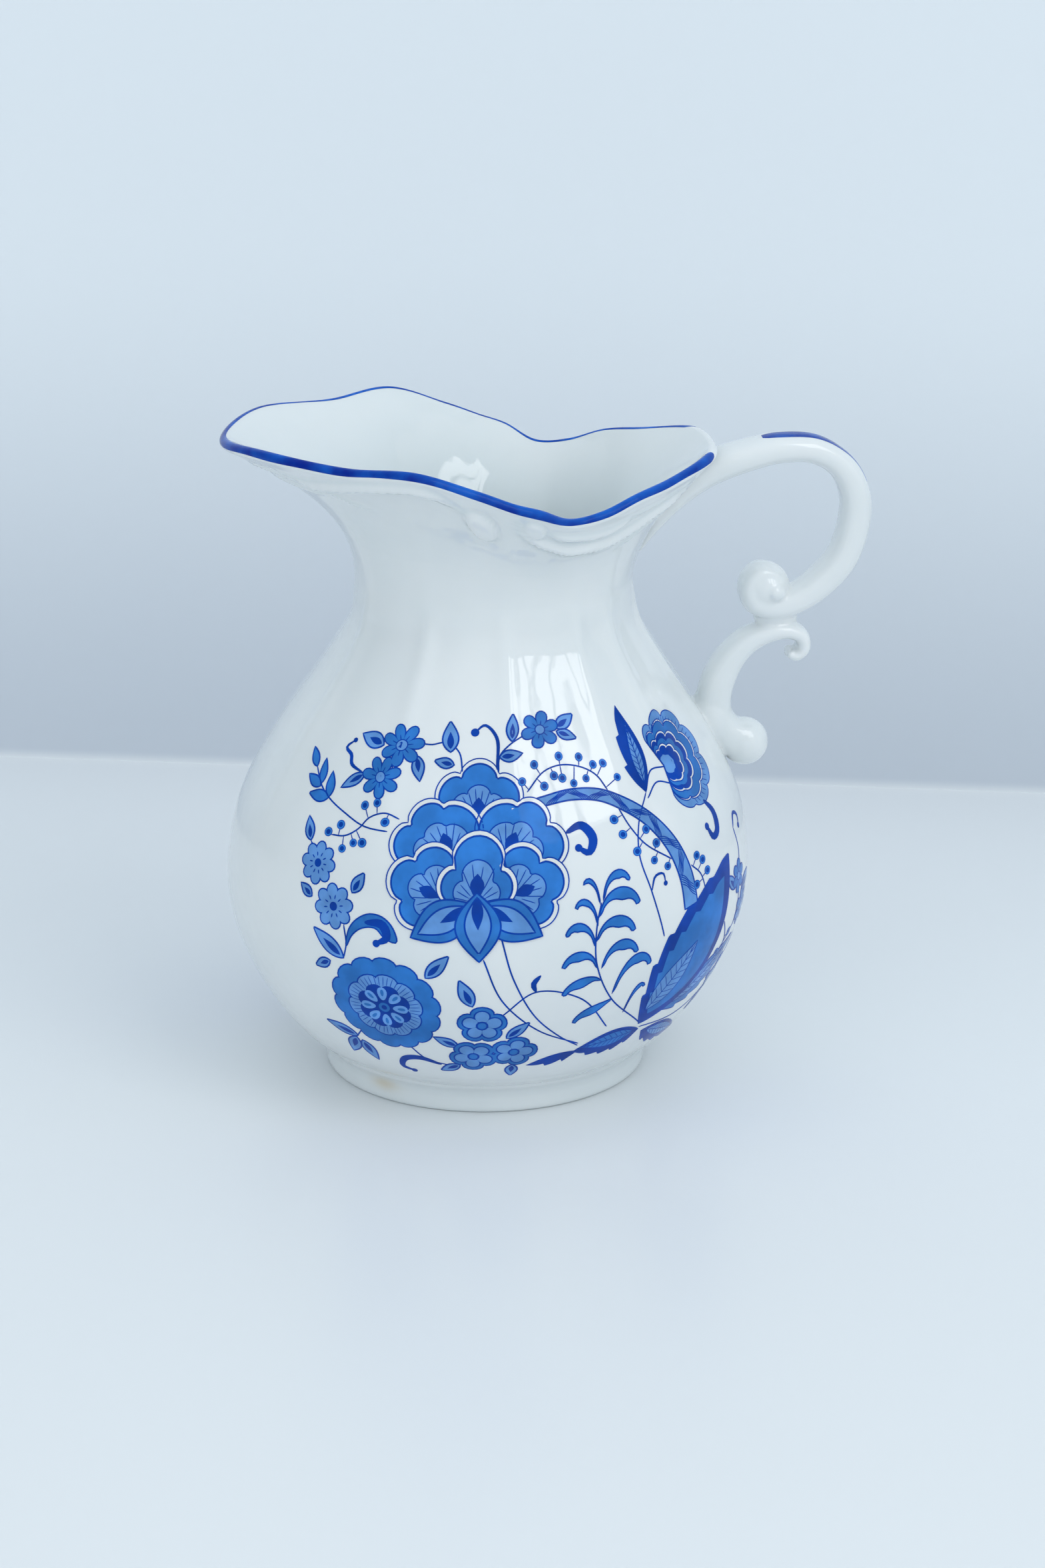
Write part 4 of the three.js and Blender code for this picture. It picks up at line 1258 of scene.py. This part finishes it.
CALYX = [                 # base, tip, width, level
    ((-5.6, 41.2), (-14.6, 35.6), 6.4, 32), ((-4.8, 41.2), (4.4, 36.1), 6.4, 32), ((-5.2, 43), (-4.6, 32.2), 6.8, 38)]
BRANCH = [(4.5, 56.5), (10.5, 57.3), (16, 56.6), (20.5, 54.3), (24.5, 51), (27.5, 46.8), (29.6, 41.4), (30.5, 36)]
SCROLL_LEAF = [(-25, 32.5), (-24.6, 35.4), (-23.4, 37.2), (-21.4, 38.4), (-19.2, 38.2), (-17.5, 36.7), (-16.8, 34.4),
               (-18.7, 34.9), (-20.2, 36.3), (-22.4, 36), (-24, 34.6)]


def draw_transfer(sheet):
    for base, notches, peaks, level in SHELLS:
        draw_shell(sheet, base, notches, peaks, level)
    for base, tip, width, level in CALYX:
        draw_calyx_leaf(sheet, base, tip, width, level)
    for path in STEMS:
        sheet.stroke(spline(path, 14 * len(path)), 0.25, 1)
    for path, width, knob in CURLS:
        draw_curl(sheet, path, width, knob)
    for stem, berries in TWIGS:
        draw_twig(sheet, stem, berries)
    for base, tip, width in LEAVES:
        draw_leaf(sheet, base, tip, width)
    for base, tip, width in TWIG_LEAVES:
        draw_leaf(sheet, base, tip, width, "middle", heart=False)
    for at, size, petals, turn in DAISIES:
        draw_daisy(sheet, at, size, petals, turn)
    for at, size, turn in ROSETTES:
        draw_rosette(sheet, at, size, turn)
    for at, size, turn in CLUSTER:
        draw_cluster_flower(sheet, at, size, turn)
    draw_medallion(sheet, (-19.5, 22.5), 9.2)
    sheet.outlined("middle", spline(SCROLL_LEAF, 50, closed=True)[:-1], 2, 0.24, 0.1)
    draw_curl(sheet, [(-22, 37), (-19.2, 37), (-18.4, 35), (-20, 33.9)], 1.5, 1.2, 4)
    for root, tip in FRONDS:
        draw_frond(sheet, root, tip)
    draw_branch(sheet, BRANCH, 2.3)
    draw_lotus(sheet, (31.5, 58.7))
    sheet.fill("line", saw_leaf((25.3, 55.5), (25.8, 70), 4.6, 3, 1), 3, 0.1)
    draw_veined_leaf(sheet, (25.6, 57), (26.3, 66.5), 2.2, 5, 8)
    sheet.outlined("line", saw_leaf((24.9, 15.5), (40.2, 41), 13, 6, 1, 0.8), 6, 0.3, 0.05)
    sheet.fill("middle", saw_leaf((25.8, 17.5), (38.6, 38), 10.2, 7, 1, 0.3), 8, 0.4)
    draw_veined_leaf(sheet, (24.8, 18.6), (32.3, 29.6), 4.8, 10)
    sheet.outlined("line", saw_leaf((25.5, 14), (12.5, 12), 4.8, 5, 1), 4, 0.26, 0.05)
    draw_veined_leaf(sheet, (24.3, 14), (14, 12.6), 3.2, 6, 8, "middle")
    sheet.fill("line", saw_leaf((13.5, 12), (4, 9.5), 2.0, 3, 1), 4, 0.1)
    sheet.outlined("line", saw_leaf((27, 13), (42, 8.5), 4.2, 5, -1), 4, 0.26, 0.05)
    draw_veined_leaf(sheet, (28.5, 12.8), (40.5, 9.2), 2.8, 6, 8)
    sheet.outlined("middle", saw_leaf((29.5, 17), (47, 25.5), 5.0, 6, -1), 3, 0.26, 0.3)
    draw_veined_leaf(sheet, (31, 18), (44.5, 24.4), 3.0, 5, 9)


def on_wall(points, facing):
    """Lifts the drawing onto the wall, on the side that faces this way."""
    angle = math.radians(facing) + points[:, 0] / PRINT_RADIUS
    spot, _, out = wall_frame(angle, points[:, 1] / BELLY_LENGTH * NECK_SHARE)
    return spot + out * points[:, 2:3]


# ------------------------------------------------------------------ stage
def direction(azimuth, elevation):
    """Unit vector towards a place seen at an azimuth from the front and an elevation, in degrees."""
    a, e = math.radians(azimuth), math.radians(elevation)
    return Vector((math.sin(a) * math.cos(e), -math.cos(a) * math.cos(e), math.sin(e)))


def aim(thing, place, target):
    thing.location = place
    thing.rotation_euler = (Vector(target) - Vector(place)).to_track_quat("-Z", "Y").to_euler()


def stage_plane(name, corners, material):
    clear_scene_piece(name)
    mesh = bpy.data.meshes.new(name)
    mesh.from_pydata(corners, [], [(0, 1, 2, 3)])
    mesh.materials.append(material)
    plane = bpy.data.objects.new(name, mesh)
    bpy.context.scene.collection.objects.link(plane)
    return plane


def soft_light(name, azimuth, elevation, distance, size, power, colour, target=(0, 0, 0.05), seen=True):
    """A rectangular studio light, which also shows as a window in the glaze."""
    clear_scene_piece(name)
    data = bpy.data.lights.new(name, "AREA")
    data.shape = "RECTANGLE"
    data.size, data.size_y = size
    data.energy = power
    data.color = colour
    light = bpy.data.objects.new(name, data)
    bpy.context.scene.collection.objects.link(light)
    light.visible_glossy = seen
    aim(light, Vector(target) + direction(azimuth, elevation) * distance, target)
    return light


def table_material(tone):
    material, nodes, shader = new_material("Stage table")
    place = nodes.add("ShaderNodeTexCoord").outputs["Object"]
    cloudy = nodes.ramp(nodes.noise(place, 4.0), 0.3, 0.7)
    dull = tuple(c * 0.975 for c in tone[:3]) + (1,)
    nodes.link(nodes.mix(cloudy, tuple(tone), dull), shader.inputs["Base Color"])
    shader.inputs["Roughness"].default_value = 0.32
    shader.inputs["Specular IOR Level"].default_value = 0.35
    return material


def wall_material(tone, foot_shade_tone, table_tone):
    """Backdrop paper with painted shade: deeper towards its foot and far to the left, and clear from behind to leave
    the view free.
    """
    material, nodes, shader = new_material("Stage wall")
    place = nodes.add("ShaderNodeTexCoord").outputs["Object"]
    height = nodes.add("ShaderNodeSeparateXYZ")
    nodes.link(place, height.inputs[0])
    # Painted shade: the backdrop darkens towards its foot.
    rise = nodes.ramp(height.outputs["Z"], 0.0, 0.11)
    grade = nodes.mix(rise, tuple(foot_shade_tone), tuple(tone))
    # Painted shadow: the backdrop darkens far to the left.
    shadow = tuple(c * 0.58 for c in tone[:3]) + (1,)
    grade = nodes.mix(nodes.ramp(height.outputs["X"], -0.45, -0.14, 1.0, 0.0), grade, shadow)
    grade = nodes.mix(nodes.ramp(height.outputs["Z"], -0.001, 0.0022), tuple(table_tone), grade)
    nodes.link(grade, shader.inputs["Base Color"])
    shader.inputs["Roughness"].default_value = 0.9
    shader.inputs["Specular IOR Level"].default_value = 0.1
    behind = nodes.add("ShaderNodeNewGeometry").outputs["Backfacing"]
    clear = nodes.add("ShaderNodeBsdfTransparent")
    blend = nodes.add("ShaderNodeMixShader")
    nodes.link(behind, blend.inputs[0])
    nodes.link(shader.outputs[0], blend.inputs[1])
    nodes.link(clear.outputs[0], blend.inputs[2])
    nodes.link(blend.outputs[0], material.node_tree.nodes["Material Output"].inputs["Surface"])
    return material


# ------------------------------------------------------------------ settings
def colour_property(name, description, default):
    return bpy.props.FloatVectorProperty(
        name=name, description=description, subtype="COLOR", size=4, min=0.0, max=1.0, default=default)


class CreamJugLooks(bpy.types.PropertyGroup):
    white: colour_property("Glaze white", "Porcelain seen through a thin clear glaze", (0.80, 0.83, 0.835, 1))
    # This colour serves both where the glaze lies thick and as painted shade inside the mouth, on the inner floor and
    # under the base.
    shade: colour_property("Pooled glaze", "Porcelain where the glaze lies thick", (0.66, 0.73, 0.745, 1))
    stain: colour_property("Foot stain", "Old yellowish mark on the foot", (0.62, 0.50, 0.30, 1))
    cobalt_deep: colour_property("Deep cobalt", "Brushed line where the brush was full", (0.0, 0.018, 0.26, 1))
    cobalt_light: colour_property("Thin cobalt", "Brushed line where the brush ran dry", (0.01, 0.16, 0.68, 1))
    print_line: colour_property("Print outline", "Darkest tone of the transfer", (0.0, 0.06, 0.44, 1))
    print_middle: colour_property("Print ground", "Middle tone of the transfer", (0.03, 0.20, 0.62, 1))
    print_pale: colour_property("Print wash", "Palest tone of the transfer", (0.14, 0.34, 0.74, 1))


class CreamJugStage(bpy.types.PropertyGroup):
    lens: bpy.props.FloatProperty(
        name="Lens", description="Focal length of the camera", default=85.0, min=20.0, unit="CAMERA")
    distance: bpy.props.FloatProperty(
        name="Distance", description="Camera to the middle of the jug", default=0.612, min=0.2, unit="LENGTH")
    azimuth: bpy.props.FloatProperty(
        name="Azimuth", description="Camera's turn round the jug from straight in front",
        default=math.radians(-5.4), subtype="ANGLE")
    elevation: bpy.props.FloatProperty(
        name="Elevation", description="Camera's height over the level", default=math.radians(18), subtype="ANGLE")
    wall_distance: bpy.props.FloatProperty(
        name="Wall distance", description="Backdrop's place behind the jug", default=0.150, unit="LENGTH")
    wall_turn: bpy.props.FloatProperty(
        name="Wall turn", description="How far the backdrop is turned round the upright",
        default=math.radians(12), subtype="ANGLE")
    table: colour_property("Table", "Colour of the floor that the jug stands on", (0.84, 0.87, 0.885, 1))
    wall: colour_property("Backdrop", "Colour of the backdrop", (0.82, 0.87, 0.905, 1))
    # Painted shade at the foot of the backdrop.
    wall_foot_shade: colour_property("Backdrop foot", "Deeper colour at the foot of the backdrop", (0.60, 0.65, 0.71, 1))


# ------------------------------------------------------------------ operators
def finish_piece(piece, slot, *nodes):
    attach(piece, "root")
    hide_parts(*nodes)


class CREAMJUG_OT_stage(bpy.types.Operator):
    """Set the camera, the table, the backdrop and the studio lights"""
    bl_idname = "cream_jug.stage"
    bl_label = "Stage"

    def execute(self, context):
        scene = context.scene
        look = scene.cream_jug_stage
        target = Vector((-0.003, 0.013, 0.042))
        toward = direction(math.degrees(look.azimuth), math.degrees(look.elevation))
        clear_scene_piece("Camera")
        camera = bpy.data.objects.new("Camera", bpy.data.cameras.new("Camera"))
        scene.collection.objects.link(camera)
        camera.data.sensor_fit = "VERTICAL"
        camera.data.sensor_height = 36.0
        camera.data.lens = look.lens
        camera.data.clip_start = 0.02
        aim(camera, target + toward * look.distance, target)
        scene.camera = camera
        reach = 3.0
        stage_plane("Table", [(-reach, -reach, 0), (reach, -reach, 0), (reach, reach, 0), (-reach, reach, 0)],
                    table_material(look.table))
        back = look.wall_distance
        slant = math.tan(look.wall_turn) * 1.2
        left, right = back + slant, back - slant
        stage_plane("Backdrop", [(-1.2, left, 0), (1.2, right, 0), (1.2, right, 1.4), (-1.2, left, 1.4)],
                    wall_material(look.wall, look.wall_foot_shade, look.table))
        world = bpy.data.worlds.new("Studio")
        world.use_nodes = True
        sky = Nodes(world.node_tree)
        room = world.node_tree.nodes["Background"]
        toward_dusk = sky.add("ShaderNodeVectorMath", operation="DOT_PRODUCT")
        sky.link(sky.add("ShaderNodeTexCoord").outputs["Generated"], toward_dusk.inputs[0])
        toward_dusk.inputs[1].default_value = direction(-85, 8)
        dusk = sky.ramp(toward_dusk.outputs["Value"], 0.5, 0.95)
        sky.link(sky.mix(dusk, (0.85, 0.92, 0.98, 1), (0.40, 0.45, 0.50, 1)), room.inputs["Color"])
        room.inputs["Strength"].default_value = 1.02
        scene.world = world
        scene.view_settings.view_transform = "Standard"
        for pane, azimuth in enumerate((24, 36, 48)):
            soft_light(f"Window {pane + 1}", azimuth, 44, 0.80, (0.10, 0.42), 0.27, (1.0, 0.99, 0.98))
        soft_light("Fill", -60, 25, 0.9, (0.6, 0.6), 0.9, (0.95, 0.98, 1.0), seen=False)
        return {"FINISHED"}


class CREAMJUG_OT_vessel(bpy.types.Operator):
    """Make the glazed body with its moulded shoulder, scrolls and wavy lip"""
    bl_idname = "cream_jug.vessel"
    bl_label = "Vessel"

    def execute(self, context):
        look = context.scene.cream_jug_looks
        points, faces, pool_and_shade = vessel_mesh()
        piece = make_object("vessel", points, faces, porcelain_material(
            "Glazed porcelain", look.white, look.shade, look.stain))
        set_values(piece, "pool_and_shade", pool_and_shade)
        set_values(piece, "bare", np.zeros(len(points)))
        set_values(piece, "stain", np.zeros(len(points)))
        finish_piece(piece, "glazed_porcelain", "body")
        return {"FINISHED"}


class CREAMJUG_OT_foot(bpy.types.Operator):
    """Make the foot ring, wiped bare where it stands"""
    bl_idname = "cream_jug.foot"
    bl_label = "Foot ring"

    def execute(self, context):
        look = context.scene.cream_jug_looks
        points, faces = foot_mesh()
        piece = make_object("foot", points, faces, porcelain_material(
            "Foot porcelain", look.white, look.shade, look.stain))
        angle = np.degrees(np.arctan2(points[:, 1], points[:, 0]))
        mark = np.exp(-((angle + 133) / 5.5) ** 2 - ((points[:, 2] - 2.9) / 1.1) ** 2)
        outer = np.hypot(points[:, 0], points[:, 1]) > FOOT_RADIUS - 1
        # Darker on the lower part of the foot's outer face, fading out above.
        set_values(piece, "pool_and_shade", 0.35 * smoothstep(-points[:, 2], -5.2, -3.6) * outer)
        set_values(piece, "bare", 1 - smoothstep(points[:, 2], 0.15, 0.5))
        set_values(piece, "stain", 0.55 * mark * outer)
        finish_piece(piece, "foot_porcelain", "foot_ring")
        return {"FINISHED"}


class CREAMJUG_OT_handle(bpy.types.Operator):
    """Join the two scrolls, the volute and the slip joints into the handle"""
    bl_idname = "cream_jug.handle"
    bl_label = "Handle"

    def execute(self, context):
        material = bpy.data.materials["Glazed porcelain"]
        piece = fused("handle", handle_parts(), 0.3, 6, material)
        zeros = np.zeros(len(piece.data.vertices))
        for name in ("pool_and_shade", "bare", "stain"):
            set_values(piece, name, zeros)
        finish_piece(piece, "glazed_porcelain", "handle_upper_scroll", "handle_lower_scroll", "rim_luting",
                     "belly_luting", "scroll_luting")
        return {"FINISHED"}


class CREAMJUG_OT_painted_lines(bpy.types.Operator):
    """Brush the cobalt line round the lip and the stroke along the handle"""
    bl_idname = "cream_jug.painted_lines"
    bl_label = "Painted lines"

    def execute(self, context):
        look = context.scene.cream_jug_looks
        material = enamel_material("Brushed cobalt", look.cobalt_deep, look.cobalt_light)
        for name, node, maker in (("lip_line", "rim_line", lip_band),
                                  ("handle_stroke", "handle_line", handle_stroke)):
            points, faces, tone = maker()
            piece = make_object(name, points, faces, material, 60.0)
            set_values(piece, "tone", tone)
            finish_piece(piece, "cobalt_enamel", node)
        return {"FINISHED"}


class CREAMJUG_OT_transfers(bpy.types.Operator):
    """Print the flower transfer on both sides, each tone in a film of its own"""
    bl_idname = "cream_jug.transfers"
    bl_label = "Flower transfers"

    def execute(self, context):
        look = context.scene.cream_jug_looks
        materials = {
            "line": print_material("Print outline", look.print_line),
            "middle": print_material("Print ground", look.print_middle),
            "pale": print_material("Print wash", look.print_pale),
            "reserve": bpy.data.materials["Glazed porcelain"]}
        sheet = Transfer(materials)
        draw_transfer(sheet)
        for side, facing in (("front", -90), ("back", 90)):
            for tone in TONES:
                points = on_wall(np.vstack(sheet.points[tone]), facing)
                piece = make_object(f"{side}_print_{tone}", points, sheet.faces[tone], materials[tone], 30.0)
                set_values(piece, "tone", np.hstack(sheet.shades[tone]))
                for name in ("pool_and_shade", "bare", "stain"):
                    set_values(piece, name, np.zeros(len(points)))
                slot = "glazed_porcelain" if tone == "reserve" else "printed_blue"
                finish_piece(piece, slot, f"{side}_transfer")
        return {"FINISHED"}


# ------------------------------------------------------------------ panel and registration
PIECE_OPERATORS = (
    CREAMJUG_OT_stage, CREAMJUG_OT_vessel, CREAMJUG_OT_foot, CREAMJUG_OT_handle, CREAMJUG_OT_painted_lines,
    CREAMJUG_OT_transfers)


class CREAMJUG_PT_pieces(bpy.types.Panel):
    bl_idname = "CREAMJUG_PT_pieces"
    bl_label = "Porcelain Cream Jug"
    bl_space_type = "VIEW_3D"
    bl_region_type = "UI"
    bl_category = "Cream Jug"

    def draw(self, context):
        for operator in PIECE_OPERATORS:
            self.layout.operator(operator.bl_idname)
        for settings in (context.scene.cream_jug_looks, context.scene.cream_jug_stage):
            box = self.layout.box()
            for name in settings.__annotations__:
                box.prop(settings, name)


CLASSES = (CreamJugLooks, CreamJugStage, CREAMJUG_PT_pieces) + PIECE_OPERATORS


def register():
    for cls in CLASSES:
        bpy.utils.register_class(cls)
    bpy.types.Scene.cream_jug_looks = bpy.props.PointerProperty(type=CreamJugLooks)
    bpy.types.Scene.cream_jug_stage = bpy.props.PointerProperty(type=CreamJugStage)


def unregister():
    del bpy.types.Scene.cream_jug_stage
    del bpy.types.Scene.cream_jug_looks
    for cls in reversed(CLASSES):
        bpy.utils.unregister_class(cls)


def main():
    register()
    for operator in PIECE_OPERATORS:
        group, name = operator.bl_idname.split(".")
        getattr(getattr(bpy.ops, group), name)()


if __name__ == "__main__":
    main()
